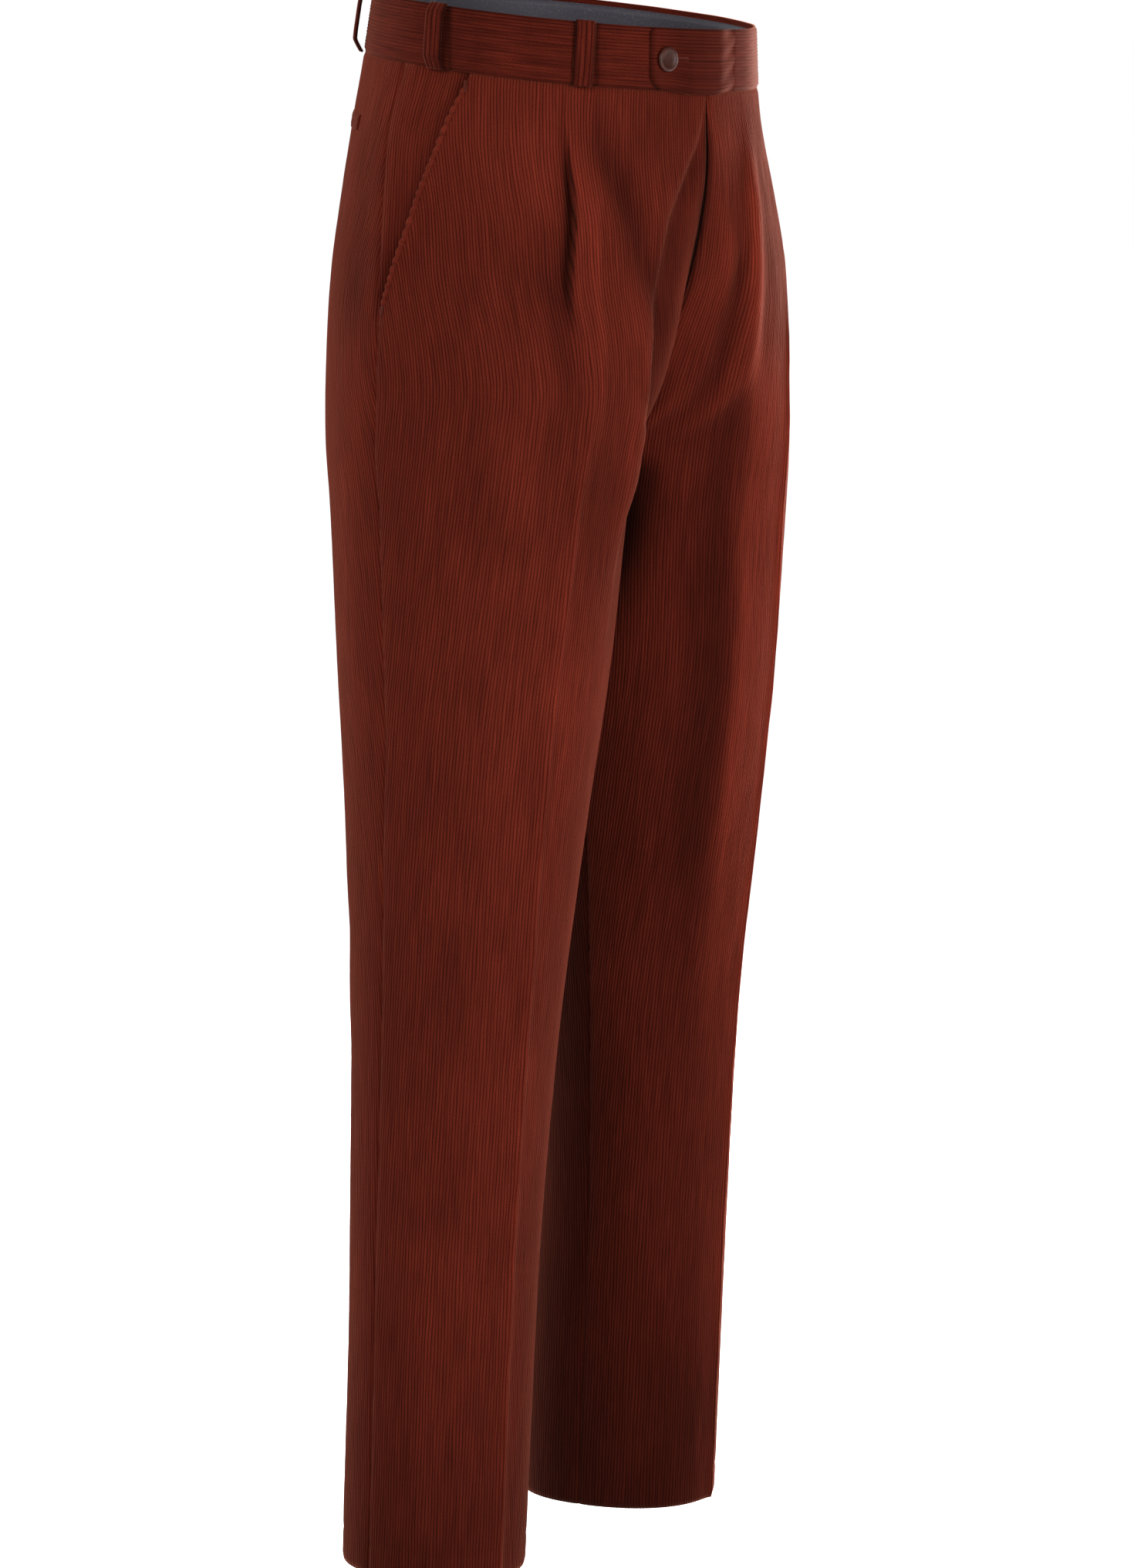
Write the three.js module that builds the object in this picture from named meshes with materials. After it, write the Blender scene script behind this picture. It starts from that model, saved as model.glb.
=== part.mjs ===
// Corduroy trousers, filled out and hollow as when worn, held at the waist.
// Millimetres, +Z up. The front faces -Y and the wearer's right is -X.
// The origin is the middle of the waist, at the height where the waistband's top edge crosses the side.
import * as THREE from 'three';

// Driving dimensions
const BAND_HEIGHT = 41;
const HEM_LEVEL = -1058;
const CROTCH_LEVEL = -292;
const HEM_TURN_UP = 42;
const SEAM_GAP = 0.3;
const CLOTH_WALL = 1.6;
const HEM_WALL = 3.0;
const BAND_PROUD = 0.8;
const BAND_WALL = 2.2;
const LINING_WALL = 0.8;
const LINING_BELOW_EDGE = 3.5;
const LINING_DEPTH = 40.5;
const LINING_GAP = 0.7;
const LAYER_GAP = 1.3;
const CREASE_HEIGHT = 2.2;
const CREASE_REACH = 7;
const PLEAT_DIP = 2.2;
const PLEAT_RIDGE = 1.6;
const PLEAT_RIDGE_REACH = 9;
const PLEAT_DIP_REACH = 6;
const PLEAT_END_LEVEL = -215;
const POCKET_BOTTOM_LEVEL = -203;
const POCKET_UNDERLAY = 24;
const POCKET_SIDE_WALL = 1.2;
const TAB_REACH_RIGHT = 58.5;
const TAB_REACH_LEFT = 33.5;
const TAB_TOP_RADIUS = 5;
const TAB_BOTTOM_RADIUS = 11;
const TAB_DROP = 2.5;
const UNDERLAP_REACH = 20;
const FLY_BOTTOM_LEVEL = -214;
const LOOP_WIDTH = 13.5;
const LOOP_THICKNESS = 2.0;
const LOOP_STAND_OFF = 6;
const FRONT_LOOP_STAND_OFF = 2;
const BUTTON_DIAMETER = 16.5;
const BUTTON_ARC = 46;
const BUTTON_LEVEL = -20.5;
const BUTTON_SHANK = 0.5;
const ZIP_HALF_WIDTH = 13;
const ZIP_WALL = 1.2;
const SHIELD_REACH_RIGHT = 34;
const SHIELD_REACH_LEFT = 16;
const SHIELD_WALL = 1.2;
const WELT_LENGTH = 115;
const WELT_HEIGHT = 10;
const WELT_WALL = 1.2;
const WELT_LEVEL = -85;
const WELT_FROM_MIDDLE = 35;

// Level sections of one half of the garment, x measured outwards from the middle.
// outer, inner: the side's and the inseam's x. frontCentre, backCentre: x of the foremost and rearmost places.
// front, back: their y. middle: y of the widest place. frontRound, backRound: 2 is an ellipse, more is squarer.
// tilt: degrees by which the section rises towards the back.
const SECTION_COLUMNS = [
  'level', 'outer', 'inner', 'frontCentre', 'backCentre', 'front', 'back', 'middle',
  'frontRound', 'backRound', 'tilt',
];
const SECTIONS = [
  [0, 140, -140, 0, 0, -116, 116, 0, 2.2, 2.25, 7.5],
  [-45, 146, -134, 0, 0, -115, 123, 0, 2.2, 2.25, 7.5],
  [-85, 155, -112, 10, 0, -117, 128, 2, 2.1, 2.25, 6.6],
  [-130, 167, -80, 34, 10, -118, 130, 4, 1.98, 2.2, 5.4],
  [-180, 179, -52, 52, 32, -116.5, 128, 6, 1.98, 2.15, 3.9],
  [-240, 183, -26, 69, 62, -112.5, 121, 9, 2.05, 2.15, 2.2],
  [-292, 185, 0.4, 88, 90, -105.5, 112, 8, 2.1, 2.1, 0.7],
  [-340, 187.5, 5.5, 96, 97, -98, 104, 4, 2.1, 2.1, 0],
  [-430, 184.5, 15.5, 100, 100, -90, 99, 5, 2.1, 2.1, 0],
  [-560, 178, 34, 106, 106, -74, 91, 9, 2.1, 2.1, 0],
  [-700, 173, 47, 110, 110, -57, 88, 15, 2.1, 2.1, 0],
  [-860, 172, 56, 114, 114, -45, 89, 22, 2.1, 2.1, 0],
  [-1058, 171, 59, 115, 115, -35, 95, 30, 2.1, 2.1, 0],
];

// Lines on the cloth, as degrees round the section from its foremost place, outwards.
const LINE_COLUMNS = ['level', 'crease', 'sideSeam', 'backCrease'];
const LINES = [
  [0, 48.5, 100, 176],
  [-41, 48.5, 101.5, 176],
  [-80, 46.5, 103.2, 176],
  [-135, 38.5, 100, 175],
  [-180, 32.5, 97, 173],
  [-215, 26.5, 96, 172],
  [-264, 19.5, 96.5, 172],
  [-292, 17, 97.5, 172],
  [-340, 15, 96.8, 174],
  [-465, 18.5, 96.5, 172],
  [-560, 17, 99, 172],
  [-690, 13, 101, 172],
  [-860, 11, 102, 172],
  [-1058, 11, 102, 172],
];

// The slanted pocket mouth, as degrees round the section.
const MOUTH_COLUMNS = ['level', 'mouth'];
const MOUTH = [
  [-41, 79.2],
  [-68, 82.8],
  [-95, 85.2],
  [-128, 88.2],
  [-162, 91],
  [POCKET_BOTTOM_LEVEL, 96],
];

// Belt loops, by degrees round the waist on each side, and the one at the middle of the back.
const SIDE_LOOPS = [
  { name: 'front', right: 43.3, left: 61, standOff: FRONT_LOOP_STAND_OFF },
  { name: 'side', right: 90, left: 90, standOff: LOOP_STAND_OFF },
  { name: 'back', right: 138, left: 138, standOff: LOOP_STAND_OFF },
];
const MIDDLE_LOOP_ANGLE = 180;

const RIGHT = -1;
const LEFT = 1;
const ANGLE_STEPS = 360;
const LEVEL_STEP = 0.75;
const ARC_STEP = 0.6;
const EDGE_BLEND = 14;

const RUST = 0x6b2a1c;
const RUST_DARK = 0x5c2318;
const NAVY = 0x2c3140;
const BUTTON_BROWN = 0x2a1410;
const ZIP_BROWN = 0x4a2118;

// A smooth curve through each column that never overshoots its rows (monotone cubic).
function columnCurves(rows, columns) {
  const sorted = [...rows].sort((a, b) => a[0] - b[0]);
  const x = sorted.map((row) => row[0]);
  return Object.fromEntries(columns.slice(1).map((name, k) => {
    const y = sorted.map((row) => row[k + 1]);
    return [name, monotoneCurve(x, y)];
  }));
}

function monotoneCurve(x, y) {
  const n = x.length;
  const slope = [];
  for (let i = 0; i < n - 1; i++) {
    slope.push((y[i + 1] - y[i]) / (x[i + 1] - x[i]));
  }
  const tangent = [slope[0]];
  for (let i = 1; i < n - 1; i++) {
    if (slope[i - 1] * slope[i] <= 0) {
      tangent.push(0);
      continue;
    }
    const before = x[i] - x[i - 1];
    const after = x[i + 1] - x[i];
    const w1 = 2 * after + before;
    const w2 = after + 2 * before;
    tangent.push((w1 + w2) / (w1 / slope[i - 1] + w2 / slope[i]));
  }
  tangent.push(slope[n - 2]);
  return (value) => {
    const v = THREE.MathUtils.clamp(value, x[0], x[n - 1]);
    let i = 0;
    while (i < n - 2 && v > x[i + 1]) {
      i++;
    }
    const h = x[i + 1] - x[i];
    const t = (v - x[i]) / h;
    const t2 = t * t;
    const t3 = t2 * t;
    return (2 * t3 - 3 * t2 + 1) * y[i] + (t3 - 2 * t2 + t) * h * tangent[i]
      + (3 * t2 - 2 * t3) * y[i + 1] + (t3 - t2) * h * tangent[i + 1];
  };
}

const section = columnCurves(SECTIONS, SECTION_COLUMNS);
const line = columnCurves(LINES, LINE_COLUMNS);
const mouth = columnCurves(MOUTH, MOUTH_COLUMNS).mouth;

function smooth(value, low, high) {
  return THREE.MathUtils.smoothstep(value, low, high);
}

// One half section in its plane: x outwards from the middle, y to the back, at an angle round it.
function sectionPoint(level, degrees) {
  const angle = THREE.MathUtils.degToRad(degrees);
  const s = Math.sin(angle);
  const c = Math.cos(angle);
  const power = 2 / (c > 0 ? section.frontRound(level) : section.backRound(level));
  const sideways = Math.sign(s) * Math.abs(s) ** power;
  const forwards = Math.sign(c) * Math.abs(c) ** power;
  const centre = c > 0 ? section.frontCentre(level) : section.backCentre(level);
  const halfWidth = s > 0 ? section.outer(level) - centre : centre - section.inner(level);
  const middle = section.middle(level);
  const halfDepth = c > 0 ? middle - section.front(level) : section.back(level) - middle;
  return { x: centre + halfWidth * sideways, y: middle - halfDepth * forwards };
}

// Arc lengths round a section, from the foremost place outwards to the back and the inseam, and the other way.
const ringCache = new Map();

function ring(level) {
  const key = level.toFixed(4);
  if (ringCache.has(key)) {
    return ringCache.get(key);
  }
  const points = [];
  for (let i = 0; i <= ANGLE_STEPS; i++) {
    const degrees = -90 + (360 * i) / ANGLE_STEPS;
    points.push({ degrees, ...sectionPoint(level, degrees) });
  }
  let kept = points;
  if (points[0].x < 0) {
    kept = points.filter((p) => p.x >= 0);
    const first = points.indexOf(kept[0]);
    const last = points.indexOf(kept[kept.length - 1]);
    kept = [
      crossing(points[first - 1], points[first]),
      ...kept,
      crossing(points[Math.min(last + 1, ANGLE_STEPS)], points[last]),
    ];
  }
  let arc = 0;
  const arcs = kept.map((p, i) => {
    if (i > 0) {
      arc += Math.hypot(p.x - kept[i - 1].x, p.y - kept[i - 1].y);
    }
    return arc;
  });
  const result = { points: kept, arcs };
  const zero = arcAtAngle(result, 0);
  result.arcs = arcs.map((a) => a - zero);
  ringCache.set(key, result);
  return result;
}

function crossing(outside, inside) {
  if (!outside || outside.x >= 0) {
    return { ...inside };
  }
  const t = -outside.x / (inside.x - outside.x);
  const between = (a, b) => a + (b - a) * t;
  return {
    degrees: between(outside.degrees, inside.degrees),
    x: 0,
    y: between(outside.y, inside.y),
  };
}

function arcAtAngle(r, degrees) {
  const { points, arcs } = r;
  let i = 0;
  while (i < points.length - 2 && degrees > points[i + 1].degrees) {
    i++;
  }
  const span = points[i + 1].degrees - points[i].degrees;
  const t = THREE.MathUtils.clamp((degrees - points[i].degrees) / (span || 1), 0, 1);
  return arcs[i] + (arcs[i + 1] - arcs[i]) * t;
}

function pointAtArc(r, arc) {
  const { points, arcs } = r;
  let low = 0;
  let high = points.length - 1;
  while (high - low > 1) {
    const half = (low + high) >> 1;
    if (arcs[half] <= arc) {
      low = half;
    } else {
      high = half;
    }
  }
  const t = (arc - arcs[low]) / (arcs[high] - arcs[low]);
  return {
    x: points[low].x + (points[high].x - points[low].x) * t,
    y: points[low].y + (points[high].y - points[low].y) * t,
  };
}

const frontEdgeArc = (level) => ring(level).arcs[0];
const backEdgeArc = (level) => ring(level).arcs[ring(level).arcs.length - 1];
const creaseArc = (level) => arcAtAngle(ring(level), line.crease(level));
const sideSeamArc = (level) => arcAtAngle(ring(level), line.sideSeam(level));
const backCreaseArc = (level) => arcAtAngle(ring(level), line.backCrease(level));
const mouthArc = (level) => arcAtAngle(ring(level), mouth(level));

// Height of the pressed creases, the pleat's fold and the hollow beside it, at a place on the cloth.
function relief(level, arc) {
  const fromCrease = arc - creaseArc(level);
  const fromBackCrease = arc - backCreaseArc(level);
  const pressed = 1 - smooth(level, PLEAT_END_LEVEL, PLEAT_END_LEVEL + 60);
  const backPressed = 1 - smooth(level, CROTCH_LEVEL, CROTCH_LEVEL + 120);
  const pleat = smooth(level, PLEAT_END_LEVEL - 20, PLEAT_END_LEVEL + 70)
    * (1 - 0.7 * smooth(level, -90, -BAND_HEIGHT));
  const crease = CREASE_HEIGHT * pressed * Math.exp(-((fromCrease / CREASE_REACH) ** 2));
  const backCrease = CREASE_HEIGHT * backPressed * Math.exp(-((fromBackCrease / CREASE_REACH) ** 2));
  const ridge = PLEAT_RIDGE * pleat * Math.exp(-(((fromCrease + CREASE_REACH) / PLEAT_RIDGE_REACH) ** 2));
  const dip = -PLEAT_DIP * pleat * Math.exp(-(((fromCrease - CREASE_REACH) / PLEAT_DIP_REACH) ** 2));
  return crease + backCrease + ridge + dip;
}

function clothPoint(level, arc) {
  const p = pointAtArc(ring(level), arc);
  const rise = Math.tan(THREE.MathUtils.degToRad(section.tilt(level)));
  return new THREE.Vector3(p.x, p.y, level + rise * p.y);
}

// The way out of the cloth at a place. Along the middle seams it stays in the plane between the two halves.
function clothNormal(level, arc) {
  const first = frontEdgeArc(level);
  const last = backEdgeArc(level);
  const a = THREE.MathUtils.clamp(arc, first + ARC_STEP, last - ARC_STEP);
  const share = (a - first) / (last - first);
  const at = (l) => {
    const start = frontEdgeArc(l);
    return clothPoint(l, start + share * (backEdgeArc(l) - start));
  };
  const along = clothPoint(level, a + ARC_STEP).sub(clothPoint(level, a - ARC_STEP));
  const up = at(Math.min(level + LEVEL_STEP, 0)).sub(at(level - LEVEL_STEP));
  const normal = along.cross(up).normalize();
  if (level <= CROTCH_LEVEL) {
    return normal;
  }
  const nearest = Math.min(arc - first, last - arc);
  const atFront = arc - first < last - arc;
  const edgeArc = atFront ? frontEdgeArc : backEdgeArc;
  const upper = clothPoint(level + LEVEL_STEP, edgeArc(level + LEVEL_STEP));
  const lowerLevel = Math.max(level - LEVEL_STEP, CROTCH_LEVEL + 0.01);
  const lower = clothPoint(lowerLevel, edgeArc(lowerLevel));
  const down = lower.sub(upper);
  const edge = new THREE.Vector3(0, atFront ? down.z : -down.z, atFront ? -down.y : down.y).normalize();
  return edge.lerp(normal, smooth(nearest, 0, EDGE_BLEND)).normalize();
}

// A point of a piece on one side of the body, moved out by a distance, kept clear of the middle plane.
function placed(side, level, arc, out, clearance = SEAM_GAP / 2) {
  const p = clothPoint(level, arc).addScaledVector(clothNormal(level, arc), out);
  const x = Math.max(p.x, clearance);
  return new THREE.Vector3(side * x, p.y, p.z);
}

// A closed wall from two grids of points, the outer face and the inner one.
function wall(outer, inner) {
  const rows = outer.length;
  const columns = outer[0].length;
  const positions = [];
  for (const grid of [outer, inner]) {
    for (const row of grid) {
      for (const p of row) {
        positions.push(p.x, p.y, p.z);
      }
    }
  }
  const faces = [];
  const index = (layer, i, j) => (layer * rows + i) * columns + j;
  const quad = (a, b, c, d) => faces.push(a, b, c, a, c, d);
  for (let i = 0; i < rows - 1; i++) {
    for (let j = 0; j < columns - 1; j++) {
      quad(index(0, i, j), index(0, i + 1, j), index(0, i + 1, j + 1), index(0, i, j + 1));
      quad(index(1, i, j), index(1, i, j + 1), index(1, i + 1, j + 1), index(1, i + 1, j));
    }
    quad(index(0, i, 0), index(1, i, 0), index(1, i + 1, 0), index(0, i + 1, 0));
    const last = columns - 1;
    quad(index(0, i, last), index(0, i + 1, last), index(1, i + 1, last), index(1, i, last));
  }
  const end = rows - 1;
  for (let j = 0; j < columns - 1; j++) {
    quad(index(0, 0, j), index(0, 0, j + 1), index(1, 0, j + 1), index(1, 0, j));
    quad(index(0, end, j), index(1, end, j), index(1, end, j + 1), index(0, end, j + 1));
  }
  const geometry = new THREE.BufferGeometry();
  geometry.setAttribute('position', new THREE.Float32BufferAttribute(positions, 3));
  geometry.setIndex(faces);
  if (signedVolume(geometry) < 0) {
    for (let k = 0; k < faces.length; k += 3) {
      [faces[k], faces[k + 1]] = [faces[k + 1], faces[k]];
    }
    geometry.setIndex(faces);
  }
  geometry.computeVertexNormals();
  return geometry;
}

function signedVolume(geometry) {
  const position = geometry.attributes.position;
  const index = geometry.index.array;
  const corner = [new THREE.Vector3(), new THREE.Vector3(), new THREE.Vector3()];
  let volume = 0;
  for (let k = 0; k < index.length; k += 3) {
    corner.forEach((v, n) => v.fromBufferAttribute(position, index[k + n]));
    volume += corner[0].dot(corner[1].clone().cross(corner[2])) / 6;
  }
  return volume;
}

// A wall on the cloth's form: rows of levels, a list of arcs for each, and how far out its two faces lie.
function clothWall(side, levels, arcsAt, outAt, thicknessAt) {
  const outer = [];
  const inner = [];
  for (const level of levels) {
    const arcs = arcsAt(level);
    outer.push(arcs.map((arc) => placed(side, level, arc, outAt(level, arc))));
    inner.push(arcs.map((arc) => placed(side, level, arc, outAt(level, arc) - thicknessAt(level, arc))));
  }
  return wall(outer, inner);
}

function spread(from, to, count) {
  return Array.from({ length: count + 1 }, (_, i) => from + ((to - from) * i) / count);
}

const material = (color, roughness) => new THREE.MeshStandardMaterial({ color, roughness, metalness: 0 });
const corduroy = material(RUST, 0.85);
const corduroyInside = material(RUST_DARK, 0.9);
const twill = material(NAVY, 0.8);
const horn = material(BUTTON_BROWN, 0.3);
const zipTape = material(ZIP_BROWN, 0.8);

const trousers = new THREE.Group();

function add(name, geometry, look) {
  const mesh = new THREE.Mesh(geometry, look);
  mesh.name = name;
  trousers.add(mesh);
  return mesh;
}

const BAND_BOTTOM = -BAND_HEIGHT;
const PANEL_TOP = BAND_BOTTOM - SEAM_GAP;
const HEM_FOLD_TOP = HEM_LEVEL + HEM_TURN_UP;
const PANEL_LEVELS = [
  PANEL_TOP, -58, -80, -105, -130, -155, -180, POCKET_BOTTOM_LEVEL, -222, -240, -254, -266, -276, -284,
  CROTCH_LEVEL, -300, -318, -345, -385, -430, -490, -560, -630, -700, -780, -870, -950,
  HEM_FOLD_TOP + 1, HEM_FOLD_TOP, HEM_LEVEL,
];

const panelThickness = (level) => (level <= HEM_FOLD_TOP ? HEM_WALL : CLOTH_WALL);

// Leg front: from the fly edge or inseam to the pocket mouth or side seam, with columns on the crease.
function frontPanel(side) {
  const arcsAt = (level) => {
    const start = frontEdgeArc(level) + SEAM_GAP / 2;
    const crease = creaseArc(level);
    const seam = sideSeamArc(level) - SEAM_GAP / 2;
    const end = level > POCKET_BOTTOM_LEVEL ? mouthArc(level) : seam;
    return [
      ...spread(start, crease - CREASE_REACH, 4),
      crease,
      ...spread(crease + CREASE_REACH, Math.min(end, seam), 7),
    ];
  };
  return clothWall(side, PANEL_LEVELS, arcsAt, relief, panelThickness);
}

// Leg back: from the side seam to the middle back seam or the inseam.
function backPanel(side) {
  const arcsAt = (level) => {
    const start = sideSeamArc(level) + SEAM_GAP / 2;
    const end = backEdgeArc(level) - SEAM_GAP / 2;
    const crease = Math.min(backCreaseArc(level), end - 2 * CREASE_REACH);
    return [
      ...spread(start, crease - CREASE_REACH, 5),
      crease,
      ...spread(crease + CREASE_REACH, end, 4),
    ];
  };
  return clothWall(side, PANEL_LEVELS, arcsAt, relief, panelThickness);
}

// The corduroy inside the pocket mouth: level with the back at the side seam, behind the front at the mouth.
function pocketSide(side) {
  const levels = [PANEL_TOP, -58, -80, -105, -130, -155, -172, -186];
  const under = CLOTH_WALL + LAYER_GAP;
  const arcsAt = (level) => {
    const open = mouthArc(level);
    return spread(open - POCKET_UNDERLAY, sideSeamArc(level) - SEAM_GAP / 2, 8);
  };
  const outAt = (level, arc) => {
    const open = mouthArc(level);
    const width = Math.max(sideSeamArc(level) - open, 12);
    const above = smooth(arc - open, 0.1 * width, width);
    return relief(level, Math.min(arc, open)) * (1 - above) - under * (1 - above);
  };
  return clothWall(side, levels, arcsAt, outAt, () => POCKET_SIDE_WALL);
}

// A strip across the front's middle, from an arc on the right to one on the left, at a depth behind the cloth.
function frontStrip(levels, reachRight, reachLeft, columns, depth, thickness) {
  const outer = [];
  const inner = [];
  for (const level of levels) {
    const start = frontEdgeArc(level);
    const reaches = spread(-reachRight, reachLeft, columns);
    const at = (reach, out) => placed(Math.sign(reach) || 1, level, start + Math.abs(reach), out, 0);
    outer.push(reaches.map((reach) => at(reach, -depth)));
    inner.push(reaches.map((reach) => at(reach, -depth - thickness)));
  }
  return wall(outer, inner);
}

const BAND_LEVELS = [0, BAND_BOTTOM];
const BAND_COLUMNS_LEFT = 32;
const BAND_COLUMNS_RIGHT = 37;

const waistFrontArc = (level, reach) => frontEdgeArc(level) + reach;

// The outer waistband, from the middle back to the front. The right one runs on under the tab.
function waistbandLeft() {
  const arcsAt = (level) => spread(
    waistFrontArc(level, TAB_REACH_LEFT) + SEAM_GAP / 2,
    backEdgeArc(level) - SEAM_GAP / 2,
    BAND_COLUMNS_LEFT,
  );
  return clothWall(LEFT, BAND_LEVELS, arcsAt, () => BAND_PROUD, () => BAND_WALL);
}

function waistbandRight() {
  const outer = [];
  const inner = [];
  for (const level of BAND_LEVELS) {
    const start = frontEdgeArc(level);
    const reaches = spread(-(backEdgeArc(level) - start - SEAM_GAP / 2), UNDERLAP_REACH, BAND_COLUMNS_RIGHT);
    const at = (reach, out) => placed(reach > 0 ? LEFT : RIGHT, level, start + Math.abs(reach), out, 0);
    outer.push(reaches.map((reach) => at(reach, BAND_PROUD)));
    inner.push(reaches.map((reach) => at(reach, BAND_PROUD - BAND_WALL)));
  }
  return wall(outer, inner);
}

// The tab: joined to the left waistband, then over the right one, with a rounded end and a slightly lower edge.
function waistbandTab() {
  const outer = [];
  const inner = [];
  const heights = [0, 0.04, 0.12, 0.5, 0.76, 0.88, 0.96, 1];
  const over = BAND_PROUD + SEAM_GAP + BAND_WALL;
  for (const height of heights) {
    const topDrop = height * BAND_HEIGHT;
    const bottomRise = BAND_HEIGHT - topDrop;
    const inset = cornerInset(topDrop, TAB_TOP_RADIUS) + cornerInset(bottomRise, TAB_BOTTOM_RADIUS);
    const reaches = spread(-TAB_REACH_RIGHT + inset, TAB_REACH_LEFT - SEAM_GAP / 2, 13);
    const outAt = (reach) => {
      const joined = smooth(reach, UNDERLAP_REACH + 2, TAB_REACH_LEFT - 1);
      return THREE.MathUtils.lerp(over, BAND_PROUD, joined);
    };
    const at = (reach, out) => {
      const drop = TAB_DROP * (1 - smooth(Math.abs(reach + 8), 10, 34)) * height ** 2;
      const level = -topDrop - drop;
      const side = reach > 0 ? LEFT : RIGHT;
      return placed(side, level, frontEdgeArc(level) + Math.abs(reach), out, 0);
    };
    outer.push(reaches.map((reach) => at(reach, outAt(reach))));
    inner.push(reaches.map((reach) => at(reach, outAt(reach) - BAND_WALL)));
  }
  return wall(outer, inner);
}

function cornerInset(distance, radius) {
  if (distance >= radius) {
    return 0;
  }
  return radius - Math.sqrt(radius ** 2 - (radius - distance) ** 2);
}

function waistbandLining(side) {
  const levels = [-LINING_BELOW_EDGE, -LINING_DEPTH];
  const arcsAt = (level) => spread(
    waistFrontArc(level, UNDERLAP_REACH + 4),
    backEdgeArc(level) - SEAM_GAP / 2,
    26,
  );
  const behind = () => BAND_PROUD - BAND_WALL - LINING_GAP;
  return clothWall(side, levels, arcsAt, behind, () => LINING_WALL);
}

// A belt loop: both ends on the band, its middle standing off it.
// Rows are a level and a share of the full stand-off.
const LOOP_PROFILE = [
  [0.5, 0],
  [-3, 0.55],
  [-7, 0.95],
  [-14, 1],
  [-26, 1],
  [-34, 0.95],
  [-38, 0.55],
  [-42, 0],
];

function beltLoop(side, angle, standOff) {
  const outer = [];
  const inner = [];
  for (const [level, share] of LOOP_PROFILE) {
    const out = BAND_PROUD + SEAM_GAP + share * (standOff - SEAM_GAP);
    const onBand = Math.min(level, 0);
    const centre = arcAtAngle(ring(onBand), angle);
    const reaches = spread(-LOOP_WIDTH / 2, LOOP_WIDTH / 2, 2);
    const at = (reach, distance) => {
      const past = centre + reach > backEdgeArc(onBand);
      const arc = past ? 2 * backEdgeArc(onBand) - centre - reach : centre + reach;
      const p = placed(past ? -side : side, onBand, arc, distance, 0);
      p.z += level - onBand;
      return p;
    };
    outer.push(reaches.map((reach) => at(reach, out + LOOP_THICKNESS)));
    inner.push(reaches.map((reach) => at(reach, out)));
  }
  return wall(outer, inner);
}

// The button, turned from its half outline: out along its back, round its raised rim, in across its dish.
function buttonShape() {
  const radius = BUTTON_DIAMETER / 2;
  const outline = [
    [0, 0],
    [radius * 0.72, 0],
    [radius * 0.95, 0.7],
    [radius, 1.5],
    [radius * 0.96, 2.4],
    [radius * 0.8, 2.9],
    [radius * 0.6, 2.3],
    [0, 2.1],
  ];
  return new THREE.LatheGeometry(outline.map(([r, h]) => new THREE.Vector2(r, h)), 24);
}

function button() {
  const onTab = BAND_PROUD + SEAM_GAP + BAND_WALL + BUTTON_SHANK;
  const arc = frontEdgeArc(BUTTON_LEVEL) + BUTTON_ARC;
  const place = placed(RIGHT, BUTTON_LEVEL, arc, onTab);
  const foot = placed(RIGHT, BUTTON_LEVEL, arc, 0);
  const out = place.clone().sub(foot).normalize();
  const mesh = add('button', buttonShape(), horn);
  mesh.position.copy(place);
  mesh.quaternion.setFromUnitVectors(new THREE.Vector3(0, 1, 0), out);
}

// The narrow sewn lip of a back pocket, level on the hip.
function backPocketWelt(side) {
  const levels = [WELT_LEVEL + WELT_HEIGHT / 2, WELT_LEVEL - WELT_HEIGHT / 2];
  const arcsAt = (level) => {
    const end = backEdgeArc(level) - WELT_FROM_MIDDLE;
    return spread(end - WELT_LENGTH, end, 12);
  };
  return clothWall(side, levels, arcsAt, () => WELT_WALL + SEAM_GAP, () => WELT_WALL);
}

for (const [side, word] of [[RIGHT, 'right'], [LEFT, 'left']]) {
  add(`front_${word}`, frontPanel(side), corduroy);
  add(`back_${word}`, backPanel(side), corduroy);
  add(`pocket_side_${word}`, pocketSide(side), corduroy);
  add(`back_pocket_welt_${word}`, backPocketWelt(side), corduroy);
  add(`waistband_lining_${word}`, waistbandLining(side), twill);
  for (const loop of SIDE_LOOPS) {
    add(`belt_loop_${loop.name}_${word}`, beltLoop(side, loop[word], loop.standOff), corduroy);
  }
}
add('belt_loop_middle_back', beltLoop(LEFT, MIDDLE_LOOP_ANGLE, LOOP_STAND_OFF), corduroy);
add('waistband_right', waistbandRight(), corduroy);
add('waistband_left', waistbandLeft(), corduroy);
add('waistband_tab', waistbandTab(), corduroy);

const flyLevels = [-48, -80, -110, -140, -165, -188, FLY_BOTTOM_LEVEL + 6];
const behindCloth = CLOTH_WALL + LAYER_GAP;
const behindZip = behindCloth + ZIP_WALL + LAYER_GAP;
const zip = frontStrip(flyLevels, ZIP_HALF_WIDTH, ZIP_HALF_WIDTH, 4, behindCloth, ZIP_WALL);
const shield = frontStrip(flyLevels, SHIELD_REACH_RIGHT, SHIELD_REACH_LEFT, 6, behindZip, SHIELD_WALL);
add('zip_strip', zip, zipTape);
add('fly_shield', shield, corduroyInside);
button();

export default trousers;
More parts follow.
